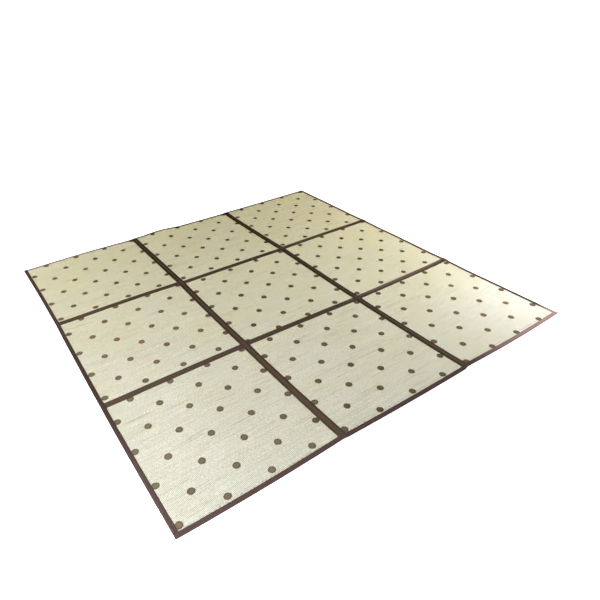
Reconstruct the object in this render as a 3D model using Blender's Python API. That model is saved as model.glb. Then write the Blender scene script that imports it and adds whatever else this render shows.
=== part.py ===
"""A tatami mat: nine woven rush panels in three strips, joined by brown tapes and bound all round.

Lengths are in metres and +Z is up. The mat lies on z = 0 with its centre at the origin. Its front
edge is towards -Y, and its three strips run from the front to the back, side by side along X.
"""

import math
from collections import namedtuple

import bpy

# Driving dimensions.
PITCH = 0.600  # from seam to seam, both ways
RUSH = 0.0025  # thickness of a woven panel
TAPE = 0.001  # thickness of every tape
GAP = 0.0003  # clearance between pieces that touch
STEP = TAPE + GAP  # what a sheet rises where it crosses a tape
LONG_TAPE_HALF = 0.0155  # half the width of the tapes that join the strips
CROSS_TAPE_HALF = 0.014  # half the width of the tapes inside a strip
FRONT_BINDING = 0.0165  # widths of the bindings, alike on top and underneath
LEFT_BINDING = 0.0165
RIGHT_BINDING = 0.0165
BACK_TOP = 0.0145  # the back binding is narrower on top
BACK_UNDER = 0.0195  # than underneath
FOLD_LENGTH = 0.030  # the dark fold by the back right corner, along the edge
FOLD_WIDTH = 0.0165  # and inwards from it
TIP = 0.004  # how far the front binding's right end sticks out
TIP_SHARE = 0.45  # how much of the binding's size is left at that end
CHAMFER = 0.0008  # at the outer corners of a folded tape
TUCK = 0.003  # a tape ends this far from the edge, under the binding
BACK_END = 0.0005  # the long tapes end this far from the back edge, on top of its binding

# The grid's lines, alike in X and Y: rim, seam, seam, rim.
GRID = (-1.5 * PITCH, -0.5 * PITCH, 0.5 * PITCH, 1.5 * PITCH)
SEAMS = (1, 2)
STRIPS = ("left", "middle", "right")
ROWS = ("front", "centre", "back")
HALF_PANELS = 6  # across the mat, and along it
MM = 0.001

# How far the cross lines stray in Y from the even grid, in mm, for each strip: a parabola through
# the strip's left side, middle and right side.
Bend = namedtuple("Bend", "start middle end")
ACROSS = (
    (Bend(2, -1, 5), Bend(3, -4, -5), Bend(1, -6, -1)),  # front edge
    (Bend(-2, 2, 3), Bend(7, 0, -8), Bend(-4, -9, -6)),  # front seam
    (Bend(-1, 5, 4), Bend(-3, -5, -6), Bend(-1, -2, -6)),  # back seam
    (Bend(-3, 5, 2), Bend(9, 1, 0), Bend(5, 3, 9)),  # back edge
)
# How far the long lines stray in X, in mm, at every half panel from the front to the back.
ALONG = (
    (1, -3, -5, -4, -2, -4, -10),  # left edge
    (5, -1, -3, -3, 1, -1, -6),  # left seam
    (6, -1, -4, -1, 3, -1, -2),  # right seam
    (8, 6, 1, 8, 4, 9, 6),  # right edge
)

# The relief. The cross seams and the back edge stand up by the heights rise, and are pinched up
# further by pinch, in mm at every half panel from the left to the right.
Ridge = namedtuple("Ridge", "line rise pinch")
RIDGES = (
    Ridge(1, (2.5, 2.5, 1.0, 2.0, 1.0, 3.5, 3.5), (1.2, 1.2, 1.2, 1.2, 1.2, 2.8, 2.8)),
    Ridge(2, (4.0, 4.0, 1.0, 2.0, 1.0, 3.0, 3.0), (1.2, 1.2, 1.2, 1.2, 1.2, 1.2, 1.2)),
    Ridge(3, (1.5, 3.0, 1.5, 2.0, 1.5, 2.5, 2.0), (0.0, 0.0, 0.0, 0.0, 0.0, 0.0, 0.0)),
)
RISE_REACH = 0.140
PINCH_REACH = 0.028
LONG_PINCH = 0.0012  # the same along the seams between the strips
LONG_PINCH_REACH = 0.020
SHIM_FLAT = 0.0175  # near the edges the rush lies on the binding's lower fold over this width
SHIM_REACH = 0.090  # and is back down on the floor this far from the edge
Swell = namedtuple("Swell", "x y reach rise")
SWELLS = (
    Swell(-0.145, 0.900, 0.150, 0.0080),  # hump in the middle of the back edge
    Swell(-0.600, -0.600, 0.240, 0.0040),  # crown of the front left panel
    Swell(0.000, -0.550, 0.220, 0.0025),
    Swell(0.680, -0.500, 0.200, 0.0050),
)
LONG_CROWN = 0.0007  # how far a tape bulges over its seam
CROSS_CROWN = 0.0004
CROWN_EASE = 0.040  # the bulge dies away over this length before the tape's ends

# Where the sheets are divided, as distances from the line at that side. The second of a seam's
# steps is the edge of the tape over it, and by the third a sheet is down off that tape.
RAMP = 0.015
PAST_BINDING = 0.032
FAR_STEPS = (0.090, 0.180)
FRONT_STEPS = (STEP, FRONT_BINDING, PAST_BINDING)
BACK_STEPS = (STEP, BACK_TOP, BACK_UNDER, PAST_BINDING)
LEFT_STEPS = (STEP, LEFT_BINDING, PAST_BINDING)
RIGHT_STEPS = (STEP, RIGHT_BINDING, PAST_BINDING)
LONG_STEPS = (GAP / 2, LONG_TAPE_HALF, LONG_TAPE_HALF + RAMP)
CROSS_STEPS = (GAP / 2, CROSS_TAPE_HALF, CROSS_TAPE_HALF + RAMP)
X_STEPS = (LEFT_STEPS, LONG_STEPS, LONG_STEPS, RIGHT_STEPS)
Y_STEPS = (FRONT_STEPS, CROSS_STEPS, CROSS_STEPS, BACK_STEPS)

SHARP_ANGLE = math.radians(30)
Finish = namedtuple("Finish", "name colour roughness")
RUSH_FINISH = Finish("woven_rush", (0.62, 0.58, 0.42), 0.55)
TAPE_FINISH = Finish("seam_tape", (0.075, 0.050, 0.045), 0.70)
BINDING_FINISH = Finish("edge_binding", (0.055, 0.036, 0.032), 0.75)
BACK_FINISH = Finish("back_binding", (0.09, 0.06, 0.045), 0.75)


# Plan: where the lines and the points between them lie. A point of a panel is given by its strip
# and row and by the shares a across and b along that panel, each from 0 to 1.


def mix(start, end, share):
    """The value that lies share of the way from start to end."""
    return start + (end - start) * share


def parabola(start, middle, end, t):
    """The parabola through three values at t = 0, 0.5 and 1."""
    return start * (1 - t) * (1 - 2 * t) + 4 * middle * t * (1 - t) + end * t * (2 * t - 1)


def cross_line(line, strip, a):
    """Y of a cross line, a share a of the way from the strip's left side to its right."""
    return GRID[line] + MM * parabola(*ACROSS[line][strip], a)


def long_line(line, y):
    """X of a long line at this y."""
    row = sum(y > GRID[seam] for seam in SEAMS)
    half_panels = ALONG[line][2 * row : 2 * row + 3]
    return GRID[line] + MM * parabola(*half_panels, (y - GRID[row]) / PITCH)


def plan(strip, row, a, b):
    """X and Y of a point of a panel."""
    y = mix(cross_line(row, strip, a), cross_line(row + 1, strip, a), b)
    x = mix(long_line(strip, y), long_line(strip + 1, y), a)
    return x, y


# Relief: how high the sheets lie above the floor.


def hump(distance, reach):
    """A smooth rise from 0 at reach to 1 at no distance."""
    return 0.5 + 0.5 * math.cos(math.pi * min(1.0, distance / reach))


def pinched(distance, reach):
    """A sharp rise from 0 at reach to 1 at no distance."""
    return max(0.0, 1 - distance / reach) ** 2


def eased(values, x):
    """A smooth run through values that are given at every half panel from left to right."""
    place = min(max(x / (PITCH / 2) + HALF_PANELS / 2, 0.0), HALF_PANELS)
    left = min(int(place), HALF_PANELS - 1)
    return mix(values[left + 1], values[left], hump(place - left, 1.0))


def lift(strip, row, a, b):
    """Height that the ridges and swells raise this point of the mat above the floor."""
    x, y = plan(strip, row, a, b)
    height = 0.0
    for ridge in RIDGES:
        away = abs(y - cross_line(ridge.line, strip, a))
        height += MM * eased(ridge.rise, x) * hump(away, RISE_REACH)
        height += MM * eased(ridge.pinch, x) * pinched(away, PINCH_REACH)
    for seam in SEAMS:
        height += LONG_PINCH * pinched(abs(x - long_line(seam, y)), LONG_PINCH_REACH)
    for swell in SWELLS:
        height += swell.rise * hump(math.hypot(x - swell.x, y - swell.y), swell.reach)
    return height


def rim_distance(strip, row, a, b):
    """Distance from the nearest outer edge, or a whole panel if this panel has none."""
    sides = [PITCH]
    if strip == 0:
        sides.append(a * PITCH)
    if strip == 2:
        sides.append((1 - a) * PITCH)
    if row == 0:
        sides.append(b * PITCH)
    if row == 2:
        sides.append((1 - b) * PITCH)
    return max(0.0, min(sides))


def rush_under(strip, row, a, b):
    """Height of a panel's lower face, which lies on the binding's lower fold near the edges."""
    past = max(0.0, rim_distance(strip, row, a, b) - SHIM_FLAT)
    return lift(strip, row, a, b) + STEP * hump(past, SHIM_REACH - SHIM_FLAT)


def rush_top(strip, row, a, b):
    """Height of a panel's upper face."""
    return rush_under(strip, row, a, b) + RUSH


def crown(size, distance):
    """Height of a tape's bulge, at a distance from where its end is covered."""
    return size * min(1.0, max(0.0, distance) / CROWN_EASE)


def rise_over(span, share, half_width):
    """What a sheet rises at a share of one panel's side, to pass over the tapes at its two ends."""
    rise = 0.0
    for line, away in ((span, share * PITCH), (span + 1, (1 - share) * PITCH)):
        if line in SEAMS:
            past = max(0.0, away - half_width)
            rise = max(rise, STEP * (1 - min(1.0, past / RAMP)))
    return rise


def rise_over_back(row, b):
    """What a long tape rises near its back end, to pass over the back binding."""
    if row < 2:
        return 0.0
    past = max(0.0, (1 - b) * PITCH - BACK_TOP)
    return STEP * (1 - min(1.0, past / (BACK_UNDER - BACK_TOP)))


# Meshes.


def shares(near, far):
    """Shares of a panel's side where a sheet is divided: close together by its ends, wide between."""
    start = [distance / PITCH for distance in near + FAR_STEPS]
    end = [1 - distance / PITCH for distance in reversed(far + FAR_STEPS)]
    return start + [0.5] + end


def finished(finish):
    """The material of this finish, made the first time that it is asked for."""
    material = bpy.data.materials.get(finish.name)
    if material is None:
        material = bpy.data.materials.new(finish.name)
        material.use_nodes = True
        shader = material.node_tree.nodes["Principled BSDF"]
        shader.inputs["Base Color"].default_value = (*finish.colour, 1.0)
        shader.inputs["Roughness"].default_value = finish.roughness
        shader.inputs["Metallic"].default_value = 0.0
    return material


def add_piece(name, points, faces, finish):
    """Adds one object, with its origin on the floor in the middle of the piece."""
    middle_x = (min(point[0] for point in points) + max(point[0] for point in points)) / 2
    middle_y = (min(point[1] for point in points) + max(point[1] for point in points)) / 2
    local = [(x - middle_x, y - middle_y, z) for x, y, z in points]
    mesh = bpy.data.meshes.new(name)
    mesh.from_pydata(local, [], faces)
    mesh.materials.append(finished(finish))
    mesh.shade_smooth()
    mesh.set_sharp_from_angle(angle=SHARP_ANGLE)
    piece = bpy.data.objects.new(name, mesh)
    piece.location = (middle_x, middle_y, 0.0)
    bpy.context.scene.collection.objects.link(piece)


def add_sheet(name, columns, thickness, finish):
    """Adds a closed sheet from columns of points on its underside, each from front to back."""
    across = len(columns)
    along = len(columns[0])
    under = [point for column in columns for point in column]
    over = [(x, y, z + thickness) for x, y, z in under]
    top = len(under)
    faces = []
    for k in range(across - 1):
        for m in range(along - 1):
            here = k * along + m
            right = here + along
            faces.append((here, right + 1, right))
            faces.append((here, here + 1, right + 1))
            faces.append((top + here, top + right, top + right + 1))
            faces.append((top + here, top + right + 1, top + here + 1))
    front = [k * along for k in range(across)]
    right_side = [(across - 1) * along + m for m in range(along)]
    back = [k * along + along - 1 for k in reversed(range(across))]
    left_side = list(reversed(range(along)))
    rim = front + right_side[1:] + back[1:] + left_side[1:-1]
    for here, after in zip(rim, rim[1:] + rim[:1]):
        faces.append((here, after, top + after, top + here))
    add_piece(name, under + over, faces, finish)


Section = namedtuple("Section", "outer inner")
RING = 10  # points round a section: six outside, from the lower lip to the upper, and four inside
OUTSIDE = 6


def folded_section(at, low_width, top_width, rise):
    """The section of a tape folded round an edge.

    at gives x, y, the floor's height and the upper face's height at a distance from the edge. rise
    is what the upper fold gains to pass over another tape.
    """
    x, y, floor, face = at(0.0)
    low_x, low_y, low_floor, _ = at(low_width)
    top_x, top_y, _, top_face = at(top_width)
    wall_x, wall_y, _, _ = at(TAPE)
    turn_x, turn_y, _, _ = at(CHAMFER)
    top = face + STEP + rise
    lip = top_face + STEP + rise
    outer = [
        (low_x, low_y, low_floor),
        (turn_x, turn_y, floor),
        (x, y, floor + CHAMFER),
        (x, y, top - CHAMFER),
        (turn_x, turn_y, top),
        (top_x, top_y, lip),
    ]
    inner = [
        (top_x, top_y, lip - TAPE),
        (wall_x, wall_y, top - TAPE),
        (wall_x, wall_y, floor + TAPE),
        (low_x, low_y, low_floor + TAPE),
    ]
    return Section(outer, inner)


def end_faces(rim, cap):
    """The faces that end a folded tape: across its section, or round a cap of six outer points."""
    if cap is None:
        return [tuple(rim)]
    faces = [(cap[m], rim[m], rim[m + 1], cap[m + 1]) for m in range(OUTSIDE - 1)]
    faces.append(tuple(cap))
    faces.append(tuple(rim[OUTSIDE:]))
    faces.append((cap[0], cap[-1], rim[5], rim[6], rim[9], rim[0]))
    return faces


def add_folded_tape(name, sections, finish, start_cap=None, end_cap=None, flip=False):
    """Adds a tape folded round an edge, through the sections along it.

    A cap is the six outer points just past the first or last section, and closes the fold there.
    flip turns the faces round, where the edge lies to the right of the way that the sections run.
    """
    points = []
    faces = []
    for section in sections:
        points += section.outer + section.inner
    for k in range(len(sections) - 1):
        for m in range(RING):
            here = k * RING + m
            after = k * RING + (m + 1) % RING
            faces.append((here, here + RING, after + RING, after))
    first = range(RING)
    last = range(len(points) - RING, len(points))
    for rim, cap, turned in ((first, start_cap, False), (last, end_cap, True)):
        corners = None
        if cap is not None:
            corners = range(len(points), len(points) + OUTSIDE)
            points += cap
        added = end_faces(rim, corners)
        faces += [face[::-1] for face in added] if turned else added
    if flip:
        faces = [face[::-1] for face in faces]
    add_piece(name, points, faces, finish)


# The pieces.


def add_panel(strip, row):
    """Adds one of the nine woven panels."""
    columns = []
    for a in shares(X_STEPS[strip], X_STEPS[strip + 1]):
        column = []
        for b in shares(Y_STEPS[row], Y_STEPS[row + 1]):
            column.append((*plan(strip, row, a, b), rush_under(strip, row, a, b)))
        columns.append(column)
    add_sheet(f"panel_{STRIPS[strip]}_{ROWS[row]}", columns, RUSH, RUSH_FINISH)


def add_cross_tape(strip, line, name):
    """Adds the tape over one seam inside a strip. Its ends go under a long tape or a binding."""
    near = (TUCK, *LEFT_STEPS[1:]) if strip == 0 else LONG_STEPS
    far = (TUCK, *RIGHT_STEPS[1:]) if strip == 2 else LONG_STEPS
    columns = []
    for a in shares(near, far):
        left = a * PITCH - near[1]
        right = (1 - a) * PITCH - far[1]
        bulge = crown(CROSS_CROWN, min(left, right))
        places = (
            (line - 1, 1 - CROSS_TAPE_HALF / PITCH, 0.0),
            (line, 0.0, bulge),
            (line, CROSS_TAPE_HALF / PITCH, 0.0),
        )
        column = []
        for row, b, extra in places:
            column.append((*plan(strip, row, a, b), rush_top(strip, row, a, b) + GAP + extra))
        columns.append(column)
    add_sheet(name, columns, TAPE, TAPE_FINISH)


def row_places(first, last):
    """Each row and share b where a sheet is divided, all the way from the front to the back."""
    places = []
    for row in range(3):
        near = first if row == 0 else CROSS_STEPS[1:]
        far = last if row == 2 else CROSS_STEPS[1:]
        places += [(row, b) for b in shares(near, far)]
        if row < 2:
            places.append((row, 1.0))
    return places


def add_long_tape(line, name):
    """Adds one of the two tapes that join the strips, over the cross tapes and the back binding."""
    left, right = line - 1, line
    left_a = 1 - LONG_TAPE_HALF / PITCH
    right_a = LONG_TAPE_HALF / PITCH
    left_column = []
    seam_column = []
    right_column = []
    for row, b in row_places((TUCK, *FRONT_STEPS[1:]), (BACK_END, *BACK_STEPS[1:])):
        over = GAP + max(rise_over(row, b, CROSS_TAPE_HALF), rise_over_back(row, b))
        left_height = rush_top(left, row, left_a, b) + over
        right_height = rush_top(right, row, right_a, b) + over
        left_column.append((*plan(left, row, left_a, b), left_height))
        right_column.append((*plan(right, row, right_a, b), right_height))
        left_x, left_y = plan(left, row, 1.0, b)
        right_x, right_y = plan(right, row, 0.0, b)
        x = (left_x + right_x) / 2
        y = (left_y + right_y) / 2
        uncovered = min(y - GRID[0] - FRONT_BINDING, GRID[3] - BACK_UNDER - y)
        height = max(rush_top(left, row, 1.0, b), rush_top(right, row, 0.0, b))
        seam_column.append((x, y, height + over + crown(LONG_CROWN, uncovered)))
    add_sheet(name, [left_column, seam_column, right_column], TAPE, TAPE_FINISH)


def sample(strip, row, a, b):
    """X, Y, the floor's height under the mat and the upper face's height at a point of a panel."""
    return *plan(strip, row, a, b), lift(strip, row, a, b), rush_top(strip, row, a, b)


def at_front(strip, a):
    """Samples the mat at a distance from its front edge."""
    return lambda distance: sample(strip, 0, a, distance / PITCH)


def at_back(strip, a):
    """Samples the mat at a distance from its back edge."""
    return lambda distance: sample(strip, 2, a, 1 - distance / PITCH)


def at_left(row, b):
    """Samples the mat at a distance from its left edge."""
    return lambda distance: sample(0, row, distance / PITCH, b)


def at_right(row, b):
    """Samples the mat at a distance from its right edge."""
    return lambda distance: sample(2, row, 1 - distance / PITCH, b)


def at_seam(edge, seam):
    """Samples the front or back edge at a seam, where the two strips' ends may not meet."""

    def at(distance):
        ends = edge(seam - 1, 1.0)(distance), edge(seam, 0.0)(distance)
        outermost = max(ends, key=lambda end: abs(end[1]))
        floor = min(end[2] for end in ends)
        face = max(end[3] for end in ends)
        return outermost[0], outermost[1], floor, face

    return at


def add_side_binding(name, edge, width, flip):
    """Adds a side binding, from the front binding to the very back corner, where it is closed."""
    front = (FRONT_BINDING + GAP, PAST_BINDING)
    back = (TAPE, BACK_UNDER, PAST_BINDING)
    sections = []
    for row, b in row_places(front, back):
        rise = rise_over(row, b, CROSS_TAPE_HALF)
        sections.append(folded_section(edge(row, b), width, width, rise))
    cap = folded_section(edge(2, 1.0), width, width, 0.0).outer
    add_folded_tape(name, sections, BINDING_FINISH, end_cap=cap, flip=flip)


def edge_sections(edge, first, last, widths, rise):
    """Sections of a binding along the front or back edge. rise gives its rise at a strip and share."""
    sections = []
    for strip in range(3):
        near = first if strip == 0 else LONG_STEPS[1:]
        far = last if strip == 2 else LONG_STEPS[1:]
        if strip in SEAMS:
            sections.append(folded_section(at_seam(edge, strip), *widths, rise(strip, 0.0)))
        for a in shares(near, far):
            sections.append(folded_section(edge(strip, a), *widths, rise(strip, a)))
    return sections


def drawn_out(outline):
    """The outline of a closed right end, moved out and drawn in to a small blunt tip."""
    edge_x, edge_y, low = outline[2]
    middle = mix(low, outline[3][2], 0.5)
    tip = []
    for _, y, z in outline:
        tip.append((edge_x + TIP, mix(edge_y, y, TIP_SHARE), mix(middle, z, TIP_SHARE)))
    return tip


def add_front_binding():
    """Adds the front binding, over the ends of the long tapes. Its right end sticks out a little."""
    widths = (FRONT_BINDING, FRONT_BINDING)
    sections = edge_sections(
        at_front,
        (TAPE, *LEFT_STEPS[1:]),
        (TAPE, *RIGHT_STEPS[1:]),
        widths,
        lambda strip, a: rise_over(strip, a, LONG_TAPE_HALF),
    )
    start = folded_section(at_front(0, 0.0), *widths, 0.0).outer
    end = drawn_out(folded_section(at_front(2, 1.0), *widths, 0.0).outer)
    add_folded_tape("binding_front", sections, BINDING_FINISH, start_cap=start, end_cap=end)


def add_back_binding():
    """Adds the back binding, between the left binding and the corner fold."""
    sections = edge_sections(
        at_back,
        (LEFT_BINDING + GAP, PAST_BINDING),
        (RIGHT_BINDING + GAP + FOLD_LENGTH + GAP,),
        (BACK_UNDER, BACK_TOP),
        lambda strip, a: 0.0,
    )
    add_folded_tape("binding_back", sections, BACK_FINISH, flip=True)


def add_corner_fold():
    """Adds the dark fold that lies along the back edge beside the right binding."""
    near = RIGHT_BINDING + GAP
    sections = []
    for distance in (near + FOLD_LENGTH, near + FOLD_LENGTH / 2, near):
        edge = at_back(2, 1 - distance / PITCH)
        sections.append(folded_section(edge, FOLD_WIDTH, FOLD_WIDTH, 0.0))
    add_folded_tape("corner_fold", sections, BINDING_FINISH, flip=True)


def main():
    """Clears the scene and adds the mat."""
    for thing in list(bpy.data.objects):
        bpy.data.objects.remove(thing, do_unlink=True)
    for strip in range(3):
        for row in range(3):
            add_panel(strip, row)
        for seam, place in zip(SEAMS, ("front", "back")):
            add_cross_tape(strip, seam, f"cross_tape_{STRIPS[strip]}_{place}")
    for seam, side in zip(SEAMS, ("left", "right")):
        add_long_tape(seam, f"long_tape_{side}")
    add_front_binding()
    add_side_binding("binding_left", at_left, LEFT_BINDING, flip=True)
    add_side_binding("binding_right", at_right, RIGHT_BINDING, flip=False)
    add_back_binding()
    add_corner_fold()


main()
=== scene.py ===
"""Dresses the tatami mat: woven rush with its dots, stitched tapes and bindings, in a pale studio.

Lengths are in metres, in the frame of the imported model: +Z is up and the front edge is towards -Y.
"""

import logging
import math
from dataclasses import dataclass, field
from enum import Enum
from typing import Callable, Iterable, NamedTuple

import bpy
import numpy as np
from mathutils import Matrix, Vector


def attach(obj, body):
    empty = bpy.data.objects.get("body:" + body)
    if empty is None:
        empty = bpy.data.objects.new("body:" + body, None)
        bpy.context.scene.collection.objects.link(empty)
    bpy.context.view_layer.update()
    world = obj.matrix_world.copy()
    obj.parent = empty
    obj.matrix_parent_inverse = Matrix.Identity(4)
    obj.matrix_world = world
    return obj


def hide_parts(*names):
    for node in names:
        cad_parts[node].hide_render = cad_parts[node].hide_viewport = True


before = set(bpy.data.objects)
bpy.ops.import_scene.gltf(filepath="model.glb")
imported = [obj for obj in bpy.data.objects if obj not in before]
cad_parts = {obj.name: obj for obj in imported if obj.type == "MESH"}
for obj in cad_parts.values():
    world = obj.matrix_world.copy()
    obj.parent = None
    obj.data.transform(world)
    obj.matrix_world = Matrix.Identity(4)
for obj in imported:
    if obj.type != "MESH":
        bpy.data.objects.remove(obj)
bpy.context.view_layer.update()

LOG = logging.getLogger("tatami_mat")
MM = 0.001
SHARP_ANGLE = math.radians(60)
SAME_PLACE = 1e-7
Array = np.ndarray
Colour = tuple[float, float, float]
Term = "Wire | float | int"


# Small shapes of curves that the forms share.


def hump(distance: Array, reach: float) -> Array:
    """A smooth rise from 0 at reach to 1 at no distance."""
    return 0.5 + 0.5 * np.cos(np.pi * np.minimum(1.0, distance / reach))


def pinched(distance: Array, reach: float) -> Array:
    """A sharp rise from 0 at reach to 1 at no distance."""
    return np.maximum(0.0, 1 - distance / reach) ** 2


def parabola(start: Array, middle: Array, end: Array, t: Array) -> Array:
    """The parabola through three values at t = 0, 0.5 and 1."""
    return start * (1 - t) * (1 - 2 * t) + 4 * middle * t * (1 - t) + end * t * (2 * t - 1)


def smooth_step(value: Array, low: float, high: float) -> Array:
    """A smooth rise from 0 at low to 1 at high."""
    t = np.clip((value - low) / (high - low), 0.0, 1.0)
    return t * t * (3 - 2 * t)


def even_steps(start: float, end: float, step: float) -> Array:
    """Places from start to end, about a step apart."""
    return np.linspace(start, end, max(2, math.ceil(abs(end - start) / step) + 1))


def run_along(x: Array, y: Array) -> Array:
    """How far along a line each of its points is."""
    return np.concatenate([[0.0], np.cumsum(np.hypot(np.diff(x), np.diff(y)))])


def drift(along: Array, period: float, phase: float) -> Array:
    """A slow, uneven wander between about -1 and 1, the same each time for the same phase."""
    turns = 2 * np.pi * along / period
    waves = np.sin(turns + phase) + 0.6 * np.sin(2.3 * turns + 2.1 * phase)
    return (waves + 0.4 * np.sin(4.7 * turns + 3.7 * phase)) / 2


# Names of the mat's parts.


class Strip(Enum):
    """The three strips, from left to right."""

    LEFT = 0
    MIDDLE = 1
    RIGHT = 2


class Row(Enum):
    """The three rows of panels, from front to back."""

    FRONT = 0
    CENTRE = 1
    BACK = 2


class Edge(Enum):
    """The four edges, each with the direction that leads inwards from it."""

    FRONT = (0.0, 1.0)
    BACK = (0.0, -1.0)
    LEFT = (1.0, 0.0)
    RIGHT = (-1.0, 0.0)


# The form of the mat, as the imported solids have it.


class Ridge(NamedTuple):
    """A cross line that stands up, with heights in mm at every half panel from left to right."""

    line: int
    rise: tuple[float, ...]
    pinch: tuple[float, ...]


class Swell(NamedTuple):
    """A broad low hump of the whole mat."""

    x: float
    y: float
    reach: float
    rise: float


@dataclass(frozen=True)
class MatForm:
    """Where the mat's lines run, and how high its sheets lie.

    The lines are numbered 0 to 3, from the left or front edge over two seams to the far edge. A
    point of a panel has shares a across and b along that panel, each from 0 to 1.
    """

    pitch: float = 0.600
    rush: float = 0.0025
    tape: float = 0.001
    gap: float = 0.0003
    long_tape_half: float = 0.0155
    cross_tape_half: float = 0.014
    front_binding: float = 0.0165
    left_binding: float = 0.0165
    right_binding: float = 0.0165
    back_top: float = 0.0145
    back_under: float = 0.0195
    fold_length: float = 0.030
    fold_width: float = 0.0165
    tip: float = 0.004
    tip_share: float = 0.45
    tuck: float = 0.003
    back_end: float = 0.0005
    ramp: float = 0.015
    ramp_start: float = 0.001
    ramp_room: float = 0.002
    seam_blend: float = 0.008
    across: tuple[tuple[tuple[float, float, float], ...], ...] = (
        ((2, -1, 5), (3, -4, -5), (1, -6, -1)),
        ((-2, 2, 3), (7, 0, -8), (-4, -9, -6)),
        ((-1, 5, 4), (-3, -5, -6), (-1, -2, -6)),
        ((-3, 5, 2), (9, 1, 0), (5, 3, 9)),
    )
    along: tuple[tuple[float, ...], ...] = (
        (1, -3, -5, -4, -2, -4, -10),
        (5, -1, -3, -3, 1, -1, -6),
        (6, -1, -4, -1, 3, -1, -2),
        (8, 6, 1, 8, 4, 9, 6),
    )
    ridges: tuple[Ridge, ...] = (
        Ridge(1, (2.5, 2.5, 1.0, 2.0, 1.0, 3.5, 3.5), (1.2, 1.2, 1.2, 1.2, 1.2, 2.8, 2.8)),
        Ridge(2, (4.0, 4.0, 1.0, 2.0, 1.0, 3.0, 3.0), (1.2, 1.2, 1.2, 1.2, 1.2, 1.2, 1.2)),
        Ridge(3, (1.5, 3.0, 1.5, 2.0, 1.5, 2.5, 2.0), (0.0, 0.0, 0.0, 0.0, 0.0, 0.0, 0.0)),
    )
    rise_reach: float = 0.140
    pinch_reach: float = 0.028
    long_pinch: float = 0.0012
    long_pinch_reach: float = 0.020
    shim_flat: float = 0.0175
    shim_reach: float = 0.090
    swells: tuple[Swell, ...] = (
        Swell(-0.145, 0.900, 0.150, 0.0080),
        Swell(-0.600, -0.600, 0.240, 0.0040),
        Swell(0.000, -0.550, 0.220, 0.0025),
        Swell(0.680, -0.500, 0.200, 0.0050),
    )
    long_crown: float = 0.0007
    cross_crown: float = 0.0004
    crown_ease: float = 0.040

    @property
    def step(self) -> float:
        """What a sheet rises where it crosses a tape."""
        return self.tape + self.gap

    def grid(self, line: int) -> float:
        """Where a line would run if the grid were even."""
        return (line - 1.5) * self.pitch

    def cross_line(self, line: int, strip: int, a: Array) -> Array:
        """Y of a cross line, a share a of the way across a strip."""
        return self.grid(line) + MM * parabola(*self.across[line][strip], a)

    def long_line(self, line: int, y: Array) -> Array:
        """X of a long line at this y."""
        row = (y > self.grid(1)).astype(int) + (y > self.grid(2)).astype(int)
        bends = np.array(self.along[line], float)
        t = (y - self.grid(0)) / self.pitch - row
        stray = parabola(bends[2 * row], bends[2 * row + 1], bends[2 * row + 2], t)
        return self.grid(line) + MM * stray

    def share_across(self, strip: int, x: Array, y: Array) -> Array:
        """The share a of a point in a strip."""
        left = self.long_line(strip, y)
        return (x - left) / (self.long_line(strip + 1, y) - left)

    def row_of(self, strip: int, a: Array, y: Array) -> Array:
        """The row, 0 to 2, that a point of a strip is in."""
        past_front = y > self.cross_line(1, strip, a)
        return past_front.astype(int) + (y > self.cross_line(2, strip, a)).astype(int)

    def share_along(self, strip: int, row: Array, a: Array, y: Array) -> Array:
        """The share b of a point in a row of a strip."""
        lines = np.stack([self.cross_line(line, strip, a) for line in range(4)])
        row = np.broadcast_to(row, a.shape)
        near = np.take_along_axis(lines, row[None], 0)[0]
        far = np.take_along_axis(lines, row[None] + 1, 0)[0]
        return (y - near) / (far - near)

    def plan(self, strip: int, row: int, a: Array, b: Array) -> tuple[Array, Array]:
        """X and Y of a point of a panel."""
        near = self.cross_line(row, strip, a)
        y = near + (self.cross_line(row + 1, strip, a) - near) * b
        left = self.long_line(strip, y)
        return left + (self.long_line(strip + 1, y) - left) * a, y

    def eased(self, values: tuple[float, ...], x: Array) -> Array:
        """A smooth run through values that are given at every half panel from left to right."""
        heights = np.array(values)
        half_panels = len(values) - 1
        place = np.clip(x / (self.pitch / 2) + half_panels / 2, 0.0, half_panels)
        left = np.minimum(place.astype(int), half_panels - 1)
        share = hump(place - left, 1.0)
        return heights[left + 1] + (heights[left] - heights[left + 1]) * share

    def lift(self, strip: int, x: Array, y: Array) -> Array:
        """Height that ridges and swells raise the mat by."""
        a = self.share_across(strip, x, y)
        height = np.zeros(np.shape(x))
        for ridge in self.ridges:
            away = np.abs(y - self.cross_line(ridge.line, strip, a))
            height += MM * self.eased(ridge.rise, x) * hump(away, self.rise_reach)
            height += MM * self.eased(ridge.pinch, x) * pinched(away, self.pinch_reach)
        for seam in (1, 2):
            away = np.abs(x - self.long_line(seam, y))
            height += self.long_pinch * pinched(away, self.long_pinch_reach)
        for swell in self.swells:
            height += swell.rise * hump(np.hypot(x - swell.x, y - swell.y), swell.reach)
        return height

    def under(self, strip: int, x: Array, y: Array) -> Array:
        """Height of the rush's lower face, which lies on the bindings' lower folds at the edges."""
        a = self.share_across(strip, x, y)
        row = self.row_of(strip, a, y)
        b = self.share_along(strip, row, a, y)
        sides = [np.ones(np.shape(x))]
        if strip == Strip.LEFT.value:
            sides.append(a)
        if strip == Strip.RIGHT.value:
            sides.append(1 - a)
        sides.append(np.where(row == Row.FRONT.value, b, 1.0))
        sides.append(np.where(row == Row.BACK.value, 1 - b, 1.0))
        rim = self.pitch * np.maximum(0.0, np.min(sides, axis=0))
        past = np.maximum(0.0, rim - self.shim_flat)
        return self.lift(strip, x, y) + self.step * hump(past, self.shim_reach - self.shim_flat)

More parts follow.
